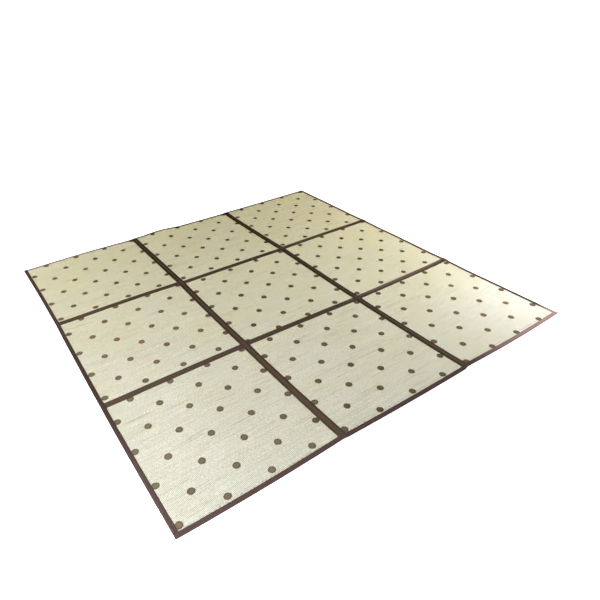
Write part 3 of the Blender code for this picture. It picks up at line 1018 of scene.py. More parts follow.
@dataclass
class RushPanel:
    """One woven panel, with its ropes raised and its dots flat."""

    strip: Strip
    row: Row
    lie: Lie
    weave: RushWeave = WEAVE
    rows_to_a_rope: int = 4
    dot_reach: float = 0.0130
    dot_columns: int = 6
    plain_columns: int = 3
    edge_room: float = 0.005
    billow: float = 0.0004
    stray_sizes: tuple[float, float] = (0.0006, 0.0003)
    stray_waves: tuple[float, float, float, float] = (0.21, 0.17, 0.083, 0.11)

    @property
    def name(self) -> str:
        """The panel's own name."""
        return f"{self.strip.name}_{self.row.name}".lower()

    def place(self, s: Array, t: Array) -> tuple[Array, Array]:
        """X and Y of a point of the weave."""
        turn = math.radians(self.lie.turn)
        lean = turn + math.radians(self.lie.skew)
        middle_x = FORM.grid(self.strip.value) + FORM.pitch / 2 + MM * self.lie.dx
        middle_y = FORM.grid(self.row.value) + FORM.pitch / 2 + MM * self.lie.dy
        x = middle_x + s * math.cos(turn) - t * math.sin(lean)
        return x, middle_y + s * math.sin(turn) + t * math.cos(lean)

    def spot(self, x: Array, y: Array) -> tuple[Array, Array]:
        """The point of the weave at X and Y."""
        zero = np.zeros(1)
        middle = np.array(self.place(zero, zero))[:, 0]
        along_s = np.array(self.place(zero + 1, zero))[:, 0] - middle
        along_t = np.array(self.place(zero, zero + 1))[:, 0] - middle
        back = np.linalg.inv(np.stack([along_s, along_t], axis=1))
        off = np.stack([x - middle[0], y - middle[1]])
        s, t = np.tensordot(back, off, axes=1)
        return s, t

    def stray(self, s: Array, climb: Array) -> Array:
        """How far the ropes wander from straight."""
        turns = 2 * np.pi
        phase = 1.7 * self.strip.value + 2.9 * self.row.value
        broad, fine = self.stray_sizes
        broad_s, broad_t, fine_s, fine_t = self.stray_waves
        wave = np.sin(turns * s / broad_s + phase) * np.sin(turns * climb / broad_t + 2 * phase)
        return broad * wave + fine * np.sin(turns * (s / fine_s + climb / fine_t) + phase)

    def shares(self, x: Array, y: Array) -> tuple[Array, Array]:
        """The shares a and b of a point."""
        a = FORM.share_across(self.strip.value, x, y)
        return a, FORM.share_along(self.strip.value, np.array(self.row.value), a, y)

    def ends(self) -> tuple[float, float, float, float]:
        """The shares where the panel starts and ends, across and along."""
        seam = FORM.gap / 2 / FORM.pitch
        rim = FORM.step / FORM.pitch
        left = rim if self.strip is Strip.LEFT else seam
        right = rim if self.strip is Strip.RIGHT else seam
        front = rim if self.row is Row.FRONT else seam
        back = rim if self.row is Row.BACK else seam
        return left, 1 - right, front, 1 - back

    def columns(self, low: float, high: float) -> Array:
        """Where the upper face is divided along s: close together over the dots, wide between."""
        dots = self.weave.dots
        near = np.linspace(-self.dot_reach, self.dot_reach, self.dot_columns + 1)
        far = np.linspace(self.dot_reach, dots.across - self.dot_reach, self.plain_columns + 1)
        offsets = np.concatenate([near, far[1:-1]])
        starts = (np.arange(-2, 11) - dots.middle) * dots.across
        found = np.sort((starts[:, None] + offsets[None]).ravel())
        return found[(found > low + self.edge_room) & (found < high - self.edge_room)]

    def on_line(self, s: Array, b: float) -> Array:
        """T of the points of an edge b of the panel at these s."""
        t = np.full(s.shape, (b - 0.5) * FORM.pitch)
        for _ in range(6):
            _, here = self.shares(*self.place(s, t))
            t = t + (b - here) * FORM.pitch
        return t

    def side(self, a: float, climbs: Array, low: float, high: float) -> tuple[Array, Array]:
        """X and Y down one side a of the panel, where the ropes' rows meet it."""
        shares_a = np.full(climbs.shape, a)
        b = np.full(climbs.shape, 0.5)
        for _ in range(8):
            s, t = self.spot(*FORM.plan(self.strip.value, self.row.value, shares_a, b))
            b = b + (climbs - (t - s * self.weave.slope)) / FORM.pitch
        b = np.clip(b, low, high)
        return FORM.plan(self.strip.value, self.row.value, shares_a, b)

    def upper_grid(self) -> tuple[Array, Array, Array, Array]:
        """X, Y and the weave's s and t of the upper face, one column a row."""
        left, right, front, back = self.ends()
        rim = [self.spot(*FORM.plan(self.strip.value, self.row.value, np.full(9, a),
                                    np.linspace(front, back, 9)))[0] for a in (left, right)]
        s_columns = self.columns(rim[0].max(), rim[1].min())
        step = self.weave.rope / self.rows_to_a_rope
        most = (0.5 + 0.04) * FORM.pitch * (1 + self.weave.slope)
        climbs = np.arange(-math.ceil(most / step), math.ceil(most / step) + 1) * step
        s_grid, climb_grid = np.meshgrid(s_columns, climbs, indexing="ij")
        t_grid = climb_grid + s_grid * self.weave.slope + self.stray(s_grid, climb_grid)
        low = self.on_line(s_columns, front)[:, None]
        high = self.on_line(s_columns, back)[:, None]
        x, y = self.place(s_grid, np.clip(t_grid, low, high))
        sides = [self.side(a, climbs, front, back) for a in (left, right)]
        x = np.concatenate([sides[0][0][None], x, sides[1][0][None]])
        y = np.concatenate([sides[0][1][None], y, sides[1][1][None]])
        s, t = self.spot(x, y)
        t = t - self.stray(s, t - s * self.weave.slope)
        return x, y, s, t

    def height(self, x: Array, y: Array) -> Array:
        """Height of the upper face, with a slight billow between the seams."""
        a, b = self.shares(x, y)
        calm = np.clip(np.sin(np.pi * np.clip(a, 0, 1)) * np.sin(np.pi * np.clip(b, 0, 1)), 0, 1)
        phase = 2.3 * self.strip.value + 4.1 * self.row.value
        wave = drift(x + 0.3 * y, 0.31, phase) * drift(y - 0.2 * x, 0.27, 1.9 * phase)
        top = FORM.under(self.strip.value, x, y) + FORM.rush
        return top + self.billow * (1 + wave) * np.sqrt(calm)

    def base(self) -> bpy.types.Object:
        """The panel before its ropes are raised, as one closed sheet."""
        x, y, s, t = self.upper_grid()
        number, faces = self.upper_faces(x, y)
        points = np.stack([x.ravel(), y.ravel(), self.height(x.ravel(), y.ravel())], axis=1)
        spots = np.stack([s.ravel(), t.ravel()], axis=1)

        under, under_spots, under_faces, under_sides = self.lower_face(len(points))
        rims = [number[:, 0], np.unique(number[-1]), number[::-1, -1], np.unique(number[0])[::-1]]
        all_points = np.concatenate([points, under])
        faces += self.side_faces(all_points, zip(rims, under_sides))
        used, faces = self.compact(faces + [under_faces], len(all_points))
        all_spots = np.concatenate([spots, under_spots])
        piece = mesh_object(f"rush_{self.name}", all_points[used], faces, all_spots[used])
        raised = piece.data.attributes.new("upper", "FLOAT", "POINT")
        raised.data.foreach_set("value", (used < len(points)).astype(np.float32))
        return piece

    @staticmethod
    def upper_faces(x: Array, y: Array) -> tuple[Array, list[Array]]:
        """The numbers of the upper face's points, one where rows meet at an edge, and its faces."""
        columns, rows = x.shape
        number = np.arange(columns * rows).reshape(columns, rows)
        same = np.hypot(np.diff(x, axis=1), np.diff(y, axis=1)) < SAME_PLACE
        for k in range(1, rows):
            number[:, k] = np.where(same[:, k - 1], number[:, k - 1], number[:, k])
        quads = np.stack([number[:-1, :-1], number[1:, :-1], number[1:, 1:], number[:-1, 1:]], -1)
        quads = quads.reshape(-1, 4)
        left_flat = quads[:, 0] == quads[:, 3]
        right_flat = quads[:, 1] == quads[:, 2]
        return number, [
            quads[~left_flat & ~right_flat],
            quads[left_flat & ~right_flat][:, [0, 1, 2]],
            quads[~left_flat & right_flat][:, [0, 1, 3]],
        ]

    @staticmethod
    def side_faces(points: Array, pairs: Iterable[tuple[Array, Array]]) -> list[Array]:
        """The triangles round the sheet, between pairs of an upper and a lower row of points."""
        faces = []
        for pair in pairs:
            places = []
            for line in pair:
                run = np.linalg.norm(np.diff(points[line, :2], axis=0), axis=1)
                run = np.concatenate([[0.0], np.cumsum(run)])
                places.append(run / run[-1])
            faces.append(zipped(*pair, *places))
        return faces

    @staticmethod
    def compact(faces: list[Array], count: int) -> tuple[Array, list[Array]]:
        """The numbers of the points that faces use, and the faces renumbered to them."""
        used = np.unique(np.concatenate([block.ravel() for block in faces]))
        renumbered = np.zeros(count, int)
        renumbered[used] = np.arange(len(used))
        return used, [renumbered[block] for block in faces]

    def lower_face(self, start: int) -> tuple[Array, Array, Array, list[Array]]:
        """The lower face: points, their weave, quads, and the point numbers of its sides."""
        left, right, front, back = self.ends()
        even = np.linspace(0.08, 0.92, 24)
        shares = np.concatenate([[0.0, 0.02, 0.045], even, [0.955, 0.98, 1.0]])
        a, b = np.meshgrid(
            left + (right - left) * shares, front + (back - front) * shares, indexing="ij"
        )
        x, y = FORM.plan(self.strip.value, self.row.value, a.ravel(), b.ravel())
        points = np.stack([x, y, FORM.under(self.strip.value, x, y)], axis=1)
        number = start + np.arange(a.size).reshape(a.shape)
        quads = np.stack([number[:-1, :-1], number[:-1, 1:], number[1:, 1:], number[1:, :-1]], -1)
        sides = [number[:, 0], number[-1], number[::-1, -1], number[0, ::-1]]
        return points, np.stack(self.spot(x, y), axis=1), quads.reshape(-1, 4), sides


def rope_tree() -> bpy.types.NodeTree:
    """The node tree that raises the ropes of a panel between its dots."""
    numbers = ("Rope Pitch", "Slope", "Relief", "Crest", "Dot Radius", "Unevenness")
    make, wire = shape_tree("raised_ropes", numbers, "Float")
    spot = make.add(
        "GeometryNodeInputNamedAttribute", {"data_type": "FLOAT_VECTOR"}, {"Name": WEAVE_MAP}
    )
    upper = make.add("GeometryNodeInputNamedAttribute", {"data_type": "FLOAT"}, {"Name": "upper"})
    s, t, _ = make.parts(spot)
    over = ((t - s * wire["Slope"]) / wire["Rope Pitch"]).fraction()
    round_top = (over * math.pi).sine()
    off_s, off_t, _, _ = WEAVE.dots.nearest(make, s, t)
    away = (off_s * off_s + off_t * off_t).root()
    flat = 1 - away.step(wire["Dot Radius"] - 0.0008, wire["Dot Radius"] + 0.0012)
    luck = make.clouds(make.vector(s * 60, t * 120, wire["Seed"]))
    size = wire["Relief"] * (1 + (luck - 0.5) * wire["Unevenness"])
    height = wire["Crest"] - size * (1 - round_top) * (1 - flat) - wire["Relief"] * flat * 0.35
    offset = make.vector(0.0, 0.0, height * upper)
    shift = {"Geometry": wire["Geometry"], "Offset": offset}
    moved = make.add("GeometryNodeSetPosition", {}, shift)
    return finished_tree(make, moved, wire["Finish"])


def grown(piece: bpy.types.Object, tree: bpy.types.NodeTree, values: dict) -> bpy.types.Object:
    """Runs a node tree on an object and keeps the result as a plain mesh object.

    Args:
        piece: the object that the tree starts from, which is taken away.
        tree: the tree.
        values: a value for each of the tree's inputs, by its name.

    Returns:
        The new object, with the same name.
    """
    modifier = piece.modifiers.new(tree.name, "NODES")
    modifier.node_group = tree
    for item in tree.interface.items_tree:
        if item.in_out == "INPUT" and item.name in values:
            modifier[item.identifier] = values[item.name]
    bpy.context.view_layer.update()
    seen = piece.evaluated_get(bpy.context.evaluated_depsgraph_get())
    mesh = bpy.data.meshes.new_from_object(seen)
    name = piece.name
    piece.modifiers.clear()
    bpy.data.objects.remove(piece)
    mesh.name = name
    whole = bpy.data.objects.new(name, mesh)
    bpy.context.scene.collection.objects.link(whole)
    return whole


@dataclass
class RushPanels:
    """The nine woven panels."""

    finish: RushFinish = RushFinish()
    weave: RushWeave = WEAVE
    unevenness: float = 1.2
    lies: tuple[tuple[Lie, ...], ...] = (
        (Lie(-2.5, 10.0, 0.8, 0.0), Lie(0.0, 13.5, 0.7, -0.9), Lie(0.5, 10.5, 0.8, 0.1)),
        (Lie(-1.0, 0.5, -0.9, 1.6), Lie(-2.5, -4.5, 0.9, -1.4), Lie(2.0, 10.0, 0.0, 0.8)),
        (Lie(1.5, -7.0, 0.0, 0.8), Lie(2.0, 3.5, 1.3, -1.8), Lie(5.5, 10.5, 0.9, 0.0)),
    )

    def build(self) -> None:
        """Makes and dresses the panels, strip by strip from front to back."""
        material = self.finish.material()
        tree = rope_tree()
        for strip in Strip:
            for row in Row:
                panel = RushPanel(strip, row, self.lies[strip.value][row.value])
                values = {
                    "Rope Pitch": self.weave.rope,
                    "Slope": self.weave.slope,
                    "Relief": self.weave.relief,
                    "Crest": self.weave.crest,
                    "Dot Radius": self.weave.dots.radius,
                    "Unevenness": self.unevenness,
                    "Seed": 3.0 * strip.value + row.value,
                    "Finish": material,
                }
                piece = grown(panel.base(), tree, values)
                settle(piece, f"panel_{panel.name}")


def settle(piece: bpy.types.Object, node: str | None) -> None:
    """Attaches a finished piece to the root, hides any imported part that it stands for, and reports
    it.
    """
    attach(piece, "root")
    if node is not None:
        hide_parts(node)
    LOG.info("%s: %d faces", piece.name, len(piece.data.polygons))


# Tapes.


class Ply(NamedTuple):
    """A tape's thickness in mm at a share of the way from its middle to its edge."""

    share: float
    thickness: float


@dataclass
class Ribbon:
    """A flat tape along a line, with a rounded, stitched edge on each side.

    middle gives the line's X and Y at each station, sideways the direction across it, and height
    the upper face of what the tape lies on.
    """

    name: str
    half_width: float
    plies: tuple[Ply, ...]
    middle: tuple[Array, Array]
    sideways: tuple[float, float]
    height: Callable[[Array, Array, Array], Array]
    phase: float
    waver: float = 0.0003
    waver_period: float = 0.12

    def run(self) -> Array:
        """How far along the tape each station is."""
        return run_along(*self.middle)

    def profile(self) -> tuple[Array, Array]:
        """The plies' shares of the half width, and their thicknesses in metres."""
        shares, thicknesses = np.array(self.plies).T
        return shares, MM * thicknesses

    def at(self, offsets: Array) -> tuple[Array, Array, Array]:
        """X, Y and the underside's height at offsets across the tape, one station a row."""
        run = self.run()
        slack = 1 + self.waver / self.half_width * drift(run, self.waver_period, self.phase)
        w = offsets[None] * slack[:, None]
        x = self.middle[0][:, None] + w * self.sideways[0]
        y = self.middle[1][:, None] + w * self.sideways[1]
        return x, y, self.height(x, y, w) + FORM.gap

    def build(self, material: bpy.types.Material) -> bpy.types.Object:
        """Makes the tape as one closed sheet.

        Args:
            material: its cloth.

        Returns:
            The tape.
        """
        shares, lifts = self.profile()
        offsets = np.concatenate([shares[::-1], -shares[1:]]) * self.half_width
        heights = np.concatenate([lifts[::-1], lifts[1:]])
        under = np.array([-1.0, -0.5, 0.0, 0.5, 1.0]) * self.half_width
        ring = np.concatenate([offsets, under])
        x, y, z = self.at(ring)
        z = z + np.concatenate([heights, np.zeros(len(under))])[None]
        points = np.stack([x, y, z], axis=-1).reshape(-1, 3)
        along = np.repeat(self.run(), len(ring))
        spots = np.stack([along, np.tile(ring, len(self.run()))], axis=1)
        first = np.arange(len(ring))
        last = len(points) - 1 - first
        faces = [ring_faces(len(self.run()), len(ring)), first[None], last[None]]
        if self.sideways[0] > 0:
            faces = [block[:, ::-1] for block in faces]
        piece = mesh_object(self.name, points, faces, spots)
        piece.data.materials.append(material)
        return piece

    def seam(self, share: float, sink: float) -> Array:
        """A line of sewing along the tape's upper face, at a share of its half width."""
        shares, lifts = self.profile()
        x, y, z = self.at(np.array([share * self.half_width]))
        lift = np.interp(abs(share), shares, lifts) - sink
        return np.stack([x[:, 0], y[:, 0], z[:, 0] + lift], axis=1)


CROSS_PLIES = (
    Ply(0.0, 1.14), Ply(0.05, 1.10), Ply(0.25, 1.06), Ply(0.55, 1.06), Ply(0.72, 0.98),
    Ply(0.80, 0.74), Ply(0.88, 0.94), Ply(0.96, 0.80), Ply(1.0, 0.40),
)
LONG_PLIES = (
    Ply(0.0, 0.62), Ply(0.035, 0.96), Ply(0.10, 1.08), Ply(0.30, 1.14), Ply(0.55, 1.10),
    Ply(0.74, 0.98), Ply(0.82, 0.72), Ply(0.89, 0.94), Ply(0.965, 0.80), Ply(1.0, 0.40),
)


# Sewing.


def stitch_tree() -> bpy.types.NodeTree:
    """The node tree that sets stitches along a curve."""
    numbers = ("Pitch", "Length", "Width", "Thickness", "Slant")
    make, wire = shape_tree("sewn_stitches", numbers, "Int")
    spread = {"Curve": wire["Geometry"], "Length": wire["Pitch"]}
    places = make.add("GeometryNodeCurveToPoints", {"mode": "LENGTH"}, spread)
    tangent = Wire(make, places.socket.node.outputs["Tangent"])
    facing = make.add("FunctionNodeAlignRotationToVector", {"axis": "X"}, {"Vector": tangent})
    lean = {2: wire["Slant"] * -1.0, 3: wire["Slant"], "Seed": wire["Seed"]}
    angle = make.add("FunctionNodeRandomValue", {"data_type": "FLOAT"}, lean, 1)
    turned = make.add("FunctionNodeEulerToRotation", {}, {0: make.vector(0.0, 0.0, angle)})
    facing = make.add(
        "FunctionNodeRotateRotation", {"rotation_space": "LOCAL"}, {0: facing, 1: turned}
    )
    ball = make.add("GeometryNodeMeshIcoSphere", {}, {"Radius": 0.5, "Subdivisions": 1})
    size = make.vector(wire["Length"], wire["Width"], wire["Thickness"])
    stitch = make.add("GeometryNodeTransform", {}, {"Geometry": ball, "Scale": size})
    stitch = make.add("GeometryNodeSetShadeSmooth", {}, {0: stitch})
    set_out = {"Points": places, "Instance": stitch, "Rotation": facing}
    rows = make.add("GeometryNodeInstanceOnPoints", {}, set_out)
    return finished_tree(make, rows, wire["Finish"])


@dataclass
class Sewing:
    """Sews rows of stitches along lines."""

    thread: ThreadFinish = THREAD_FINISH
    pitch: float = 0.0050
    length: float = 0.0040
    width: float = 0.0008
    thickness: float = 0.0006
    slant: float = math.radians(7)
    material: bpy.types.Material | None = field(default=None, init=False)
    tree: bpy.types.NodeTree | None = field(default=None, init=False)

    def __post_init__(self) -> None:
        """Makes the thread and the stitches' tree once."""
        self.material = self.thread.material()
        self.tree = stitch_tree()

    def sew(self, name: str, lines: list[Array], seed: int, slot: str) -> bpy.types.Object:
        """Sews along each line.

        Args:
            name: the stitches' name.
            lines: the lines, one point a row.
            seed: for the stitches' slants.
            slot: not used.

        Returns:
            All the stitches as one piece.
        """
        curve = bpy.data.curves.new(name, "CURVE")
        curve.dimensions = "3D"
        for line in lines:
            spline = curve.splines.new("POLY")
            spline.points.add(len(line) - 1)
            places = np.c_[line, np.ones(len(line))].astype(np.float32)
            spline.points.foreach_set("co", places.ravel())
        holder = bpy.data.objects.new(name, curve)
        bpy.context.scene.collection.objects.link(holder)
        values = {
            "Pitch": self.pitch,
            "Length": self.length,
            "Width": self.width,
            "Thickness": self.thickness,
            "Slant": self.slant,
            "Seed": seed,
            "Finish": self.material,
        }
        piece = grown(holder, self.tree, values)
        settle(piece, None)
        return piece


@dataclass
class SeamTapes:
    """The tapes over the seams: six across, and two long ones over them."""

    sewing: Sewing
    cross_finish: ClothFinish = CROSS_FINISH
    long_finish: ClothFinish = LONG_FINISH
    station: float = 0.006
    stitch_share: float = 0.81
    sink: float = -0.00005

    def cross_tape(self, strip: Strip, line: int, place: str, cloth: bpy.types.Material) -> None:
        """Makes the tape over one seam inside a strip."""
        index = strip.value
        near = FORM.tuck if strip is Strip.LEFT else FORM.gap / 2
        far = FORM.tuck if strip is Strip.RIGHT else FORM.gap / 2
        a = even_steps(near, FORM.pitch - far, self.station) / FORM.pitch
        y = FORM.cross_line(line, index, a)
        left = FORM.long_line(index, y)
        x = left + (FORM.long_line(index + 1, y) - left) * a
        covered = {
            Strip.LEFT: (FORM.left_binding, FORM.long_tape_half),
            Strip.MIDDLE: (FORM.long_tape_half, FORM.long_tape_half),
            Strip.RIGHT: (FORM.long_tape_half, FORM.right_binding),
        }[strip]

        def height(px: Array, py: Array, w: Array) -> Array:
            """Upper face of the rush, with the tape's own bulge over the seam."""
            share = FORM.share_across(index, px, py) * FORM.pitch
            open_end = np.minimum(share - covered[0], FORM.pitch - share - covered[1])
            bulge = FORM.cross_crown * np.clip(open_end / FORM.crown_ease, 0, 1)
            edge = 1 - np.minimum(1.0, np.abs(w) / FORM.cross_tape_half)
            return FORM.under(index, px, py) + FORM.rush + bulge * edge

        name = f"cross_seam_tape_{strip.name.lower()}_{place}"
        phase = 1.3 * index + 2.2 * line
        tape = Ribbon(
            name, FORM.cross_tape_half, CROSS_PLIES, (x, y), (0.0, 1.0), height, phase
        )
        self.finish_tape(tape, f"cross_tape_{strip.name.lower()}_{place}", [strip], cloth)

    def long_tape(self, seam: int, side: str, cloth: bpy.types.Material) -> None:
        """Makes one of the two tapes that join the strips."""
        start = FORM.grid(0) + MM * max(FORM.across[0][seam - 1][2], FORM.across[0][seam][0])
        end = FORM.grid(3) + MM * min(FORM.across[3][seam - 1][2], FORM.across[3][seam][0])
        y = even_steps(start + FORM.tuck, end - FORM.back_end, self.station)
        x = FORM.long_line(seam, y)

        def height(px: Array, py: Array, w: Array) -> Array:
            """Upper face of what lies under the tape: rush, cross tapes and the back binding."""
            rise = np.zeros(np.shape(px))
            for line in (1, 2):
                near_left = np.abs(py - FORM.cross_line(line, seam - 1, np.ones(1)))
                near_right = np.abs(py - FORM.cross_line(line, seam, np.zeros(1)))
                near = np.minimum(near_left, near_right)
                rise = np.maximum(rise, FORM.over_tapes(near, FORM.cross_tape_half))
            to_back = FORM.edge_y(3, px) - py
            fall = 1 - np.clip(
                (to_back - FORM.back_top) / (FORM.back_under - FORM.back_top), 0, 1
            )
            rise = np.maximum(rise, FORM.step * fall)
            clear = np.minimum(py - start - FORM.front_binding, end - FORM.back_under - py)
            bulge = FORM.long_crown * np.clip(clear / FORM.crown_ease, 0, 1)
            edge = 1 - np.minimum(1.0, np.abs(w) / FORM.long_tape_half)
            return FORM.face(px, py) + rise + bulge * edge

        name = f"long_seam_tape_{side}"
        tape = Ribbon(
            name, FORM.long_tape_half, LONG_PLIES, (x, y), (1.0, 0.0), height, 3.1 * seam
        )
        strips = [Strip(seam - 1), Strip(seam)]
        self.finish_tape(tape, f"long_tape_{side}", strips, cloth)

    def finish_tape(
        self, tape: Ribbon, node: str, strips: list[Strip], cloth: bpy.types.Material
    ) -> None:
        """Makes and sews a tape."""
        piece = tape.build(cloth)
        settle(piece, node)
        lines = [tape.seam(side * self.stitch_share, self.sink) for side in (-1, 1)]
        seed = int(tape.phase * 10)
        stitches = self.sewing.sew(f"stitches_{tape.name}", lines, seed, "seam_tape")
        rests = [f"rush_{strip.name.lower()}_{row.name.lower()}" for strip in strips for row in Row]

    def build(self) -> None:
        """Makes all the seam tapes."""
        cross_cloth = self.cross_finish.material()
        long_cloth = self.long_finish.material()
        for strip in Strip:
            for line, place in ((1, "front"), (2, "back")):
                self.cross_tape(strip, line, place, cross_cloth)
        for seam, side in ((1, "left"), (2, "right")):
            self.long_tape(seam, side, long_cloth)


# Bindings.


@dataclass
class Binding:
    """A tape folded round an edge of the mat.

    line gives X and Y of the edge at each station. over is what the upper fold rises there to pass
    over another tape. A closed end's last station has only the fold's outside, and the one before
    it is the tape's thickness away.
    """

    name: str
    edge: Edge
    line: tuple[Array, Array]
    under_width: float
    top_width: float
    over: Array
    phase: float
    closed: tuple[bool, bool] = (False, False)
    tip: bool = False
    turn: float = 0.0015
    waver: float = 0.00025
    waver_period: float = 0.10
    puff: float = 0.00018
    lip_drop: float = 0.00045
    stitch_from_lip: float = 0.0026
    stitch_sink: float = 0.00012
    outside: int = 14

    def inward(self, d: Array) -> tuple[Array, Array]:
        """X and Y at a distance in from the edge, one station a row."""
        across, along = self.edge.value
        return self.line[0][:, None] + d * across, self.line[1][:, None] + d * along

    def run(self) -> Array:
        """How far along the binding each station is."""
        return run_along(*self.line)

    def top(self, d: Array) -> tuple[Array, Array, Array]:
        """X, Y and the upper fold's height at a distance in from the edge."""
        x, y = self.inward(d)
        return x, y, FORM.face(x, y) + FORM.step + self.over[:, None]

    def low(self, d: Array) -> tuple[Array, Array, Array]:
        """X, Y and the height of the lower fold's outer face at a distance in from the edge."""
        x, y = self.inward(d)
        return x, y, FORM.floor(x, y)

    def rings(self) -> tuple[Array, Array]:
        """The points round the fold at each station, and how far round it they are."""
        stations = len(self.line[0])
        wide = self.waver * drift(self.run(), self.waver_period, self.phase)[:, None]
        lip = self.top_width + wide
        turn = min(self.turn, self.top_width / 3)
        tape = FORM.tape
        ones = np.ones((stations, 1))
        arc = 1 - math.sqrt(0.5)
        puff = self.puff
        low_run = [(self.under_width, 0.0), (self.under_width / 2, 0.0), (turn, 0.0)]
        corner = [(turn * arc, turn * arc), (0.0, turn)]
        upper = [(0.0, -turn), (turn * arc, -turn * arc), (turn, 0.0)]
        faces = []
        rounds = []
        for d, lift in low_run + corner:
            x, y, z = self.low(d * ones)
            faces.append(np.stack([x, y, z + lift], axis=-1))
            rounds.append(-0.005 - d)
        for d, drop in upper:
            x, y, z = self.top(d * ones)
            faces.append(np.stack([x, y, z + drop], axis=-1))
            rounds.append(d)
        inner_top = [(0.35, puff), (0.60, puff), (0.74, -0.00028), (0.84, 0.0), (0.95, -0.00012)]
        for share, lift in inner_top:
            x, y, z = self.top(lip * share)
            faces.append(np.stack([x, y, z + lift], axis=-1))
            rounds.append(self.top_width * share)
        for lift in (-self.lip_drop, -tape):
            x, y, z = self.top(lip)
            faces.append(np.stack([x, y, z + lift], axis=-1))
            rounds.append(self.top_width)
        x, y, z = self.top(ones * tape)
        faces.append(np.stack([x, y, z - tape], axis=-1))
        x, y, z = self.low(ones * tape)
        faces.append(np.stack([x, y, z + tape], axis=-1))
        x, y, z = self.low(ones * self.under_width)
        faces.append(np.stack([x, y, z + tape], axis=-1))
        rounds += [0.002, -0.003, -self.under_width]
        return np.concatenate(faces, axis=1), np.array(rounds)

    def caps(self, outline: Array) -> tuple[Array, Array]:
        """The outlines past the last whole ring, and how far past it they are.

        Args:
            outline: the fold's outside at the very end, or nothing where the end is open.

        Returns:
            One outline a row. The front binding's right end is drawn out to a blunt tip.
        """
        steps = np.full(len(outline), FORM.tape)
        if not self.tip:
            return outline, steps
        last = outline[-1]
        middle = np.array([0.0, self.line[1][-1], (last[:, 2].max() + last[:, 2].min()) / 2])
        rows = [last]
        outs = (0.35, 0.7, 1.0)
        for out, share in zip(outs, (0.92, 0.72, FORM.tip_share)):
            row = middle + (last - middle) * share
            row[:, 0] = self.line[0][-1] + FORM.tip * out
            rows.append(row)
        return np.array(rows), np.concatenate([steps, steps[-1] + FORM.tip * np.array(outs)])

    def end_faces(self, rim: Array, caps: Array) -> list[Array]:
        """The faces that close the far end.

        Args:
            rim: the point numbers of the last whole ring.
            caps: those of the outlines past it, one a row.

        Returns:
            The faces, which are turned round for the near end.
        """
        if not len(caps):
            return [rim[None, ::-1]]
        side = self.outside - 1
        near = caps[0]
        mouth = np.array([[rim[0], rim[-1], rim[side + 1], rim[side], near[-1], near[0]]])
        faces = [mouth, rim[None, :side:-1], caps[-1][None, ::-1]]
        faces.append(np.stack([rim[:side], near[:-1], near[1:], rim[1 : side + 1]], axis=1))
        for here, after in zip(caps, caps[1:]):
            faces.append(np.stack([here, after, np.roll(after, -1), np.roll(here, -1)], axis=1))
        return faces

    def build(self, material: bpy.types.Material) -> bpy.types.Object:
        """Makes the binding as one closed sheet.

        Args:
            material: its cloth.

        Returns:
            The binding.
        """
        rings, rounds = self.rings()
        run = self.run()
        first, last = int(self.closed[0]), len(run) - int(self.closed[1])
        whole = rings[first:last]
        ring = rings.shape[1]
        points = whole.reshape(-1, 3)
        spots = np.stack([np.repeat(run[first:last], ring), np.tile(rounds, len(whole))], axis=1)
        faces = [ring_faces(len(whole), ring)]
        far_caps, past = self.caps(rings[last:, : self.outside])
        ends = (
            (np.arange(ring), rings[:first, : self.outside], run[:first], -1),
            (len(points) - ring + np.arange(ring), far_caps, run[last - 1] + past, 1),
        )
        for rim, outlines, places, turned in ends:
            numbers = len(points) + np.arange(outlines.shape[0] * self.outside)
            caps = numbers.reshape(-1, self.outside)
            faces += [block[:, ::turned] for block in self.end_faces(rim, caps)]
            points = np.concatenate([points, outlines.reshape(-1, 3)])
            added = [np.repeat(places, self.outside), np.tile(rounds[: self.outside], len(caps))]
            spots = np.concatenate([spots, np.stack(added, axis=1)])
        if self.edge in (Edge.LEFT, Edge.BACK):
            faces = [block[:, ::-1] for block in faces]
        spots[:, 1] -= self.top_width / 2
        piece = mesh_object(self.name, points, faces, spots)
        piece.data.materials.append(material)
        return piece

    def seam(self) -> Array:
        """The line of sewing along the upper fold."""
        place = np.full((len(self.line[0]), 1), self.top_width - self.stitch_from_lip)
        x, y, z = self.top(place)
        line = np.stack([x[:, 0], y[:, 0], z[:, 0] - self.stitch_sink], axis=1)
        return line[1:-1]

    def flat(self) -> tuple[float, float]:
        """The width and length that the tape was cut to."""
        side = FORM.rush + 2 * FORM.step
        return self.top_width + self.under_width + side, float(self.run()[-1])


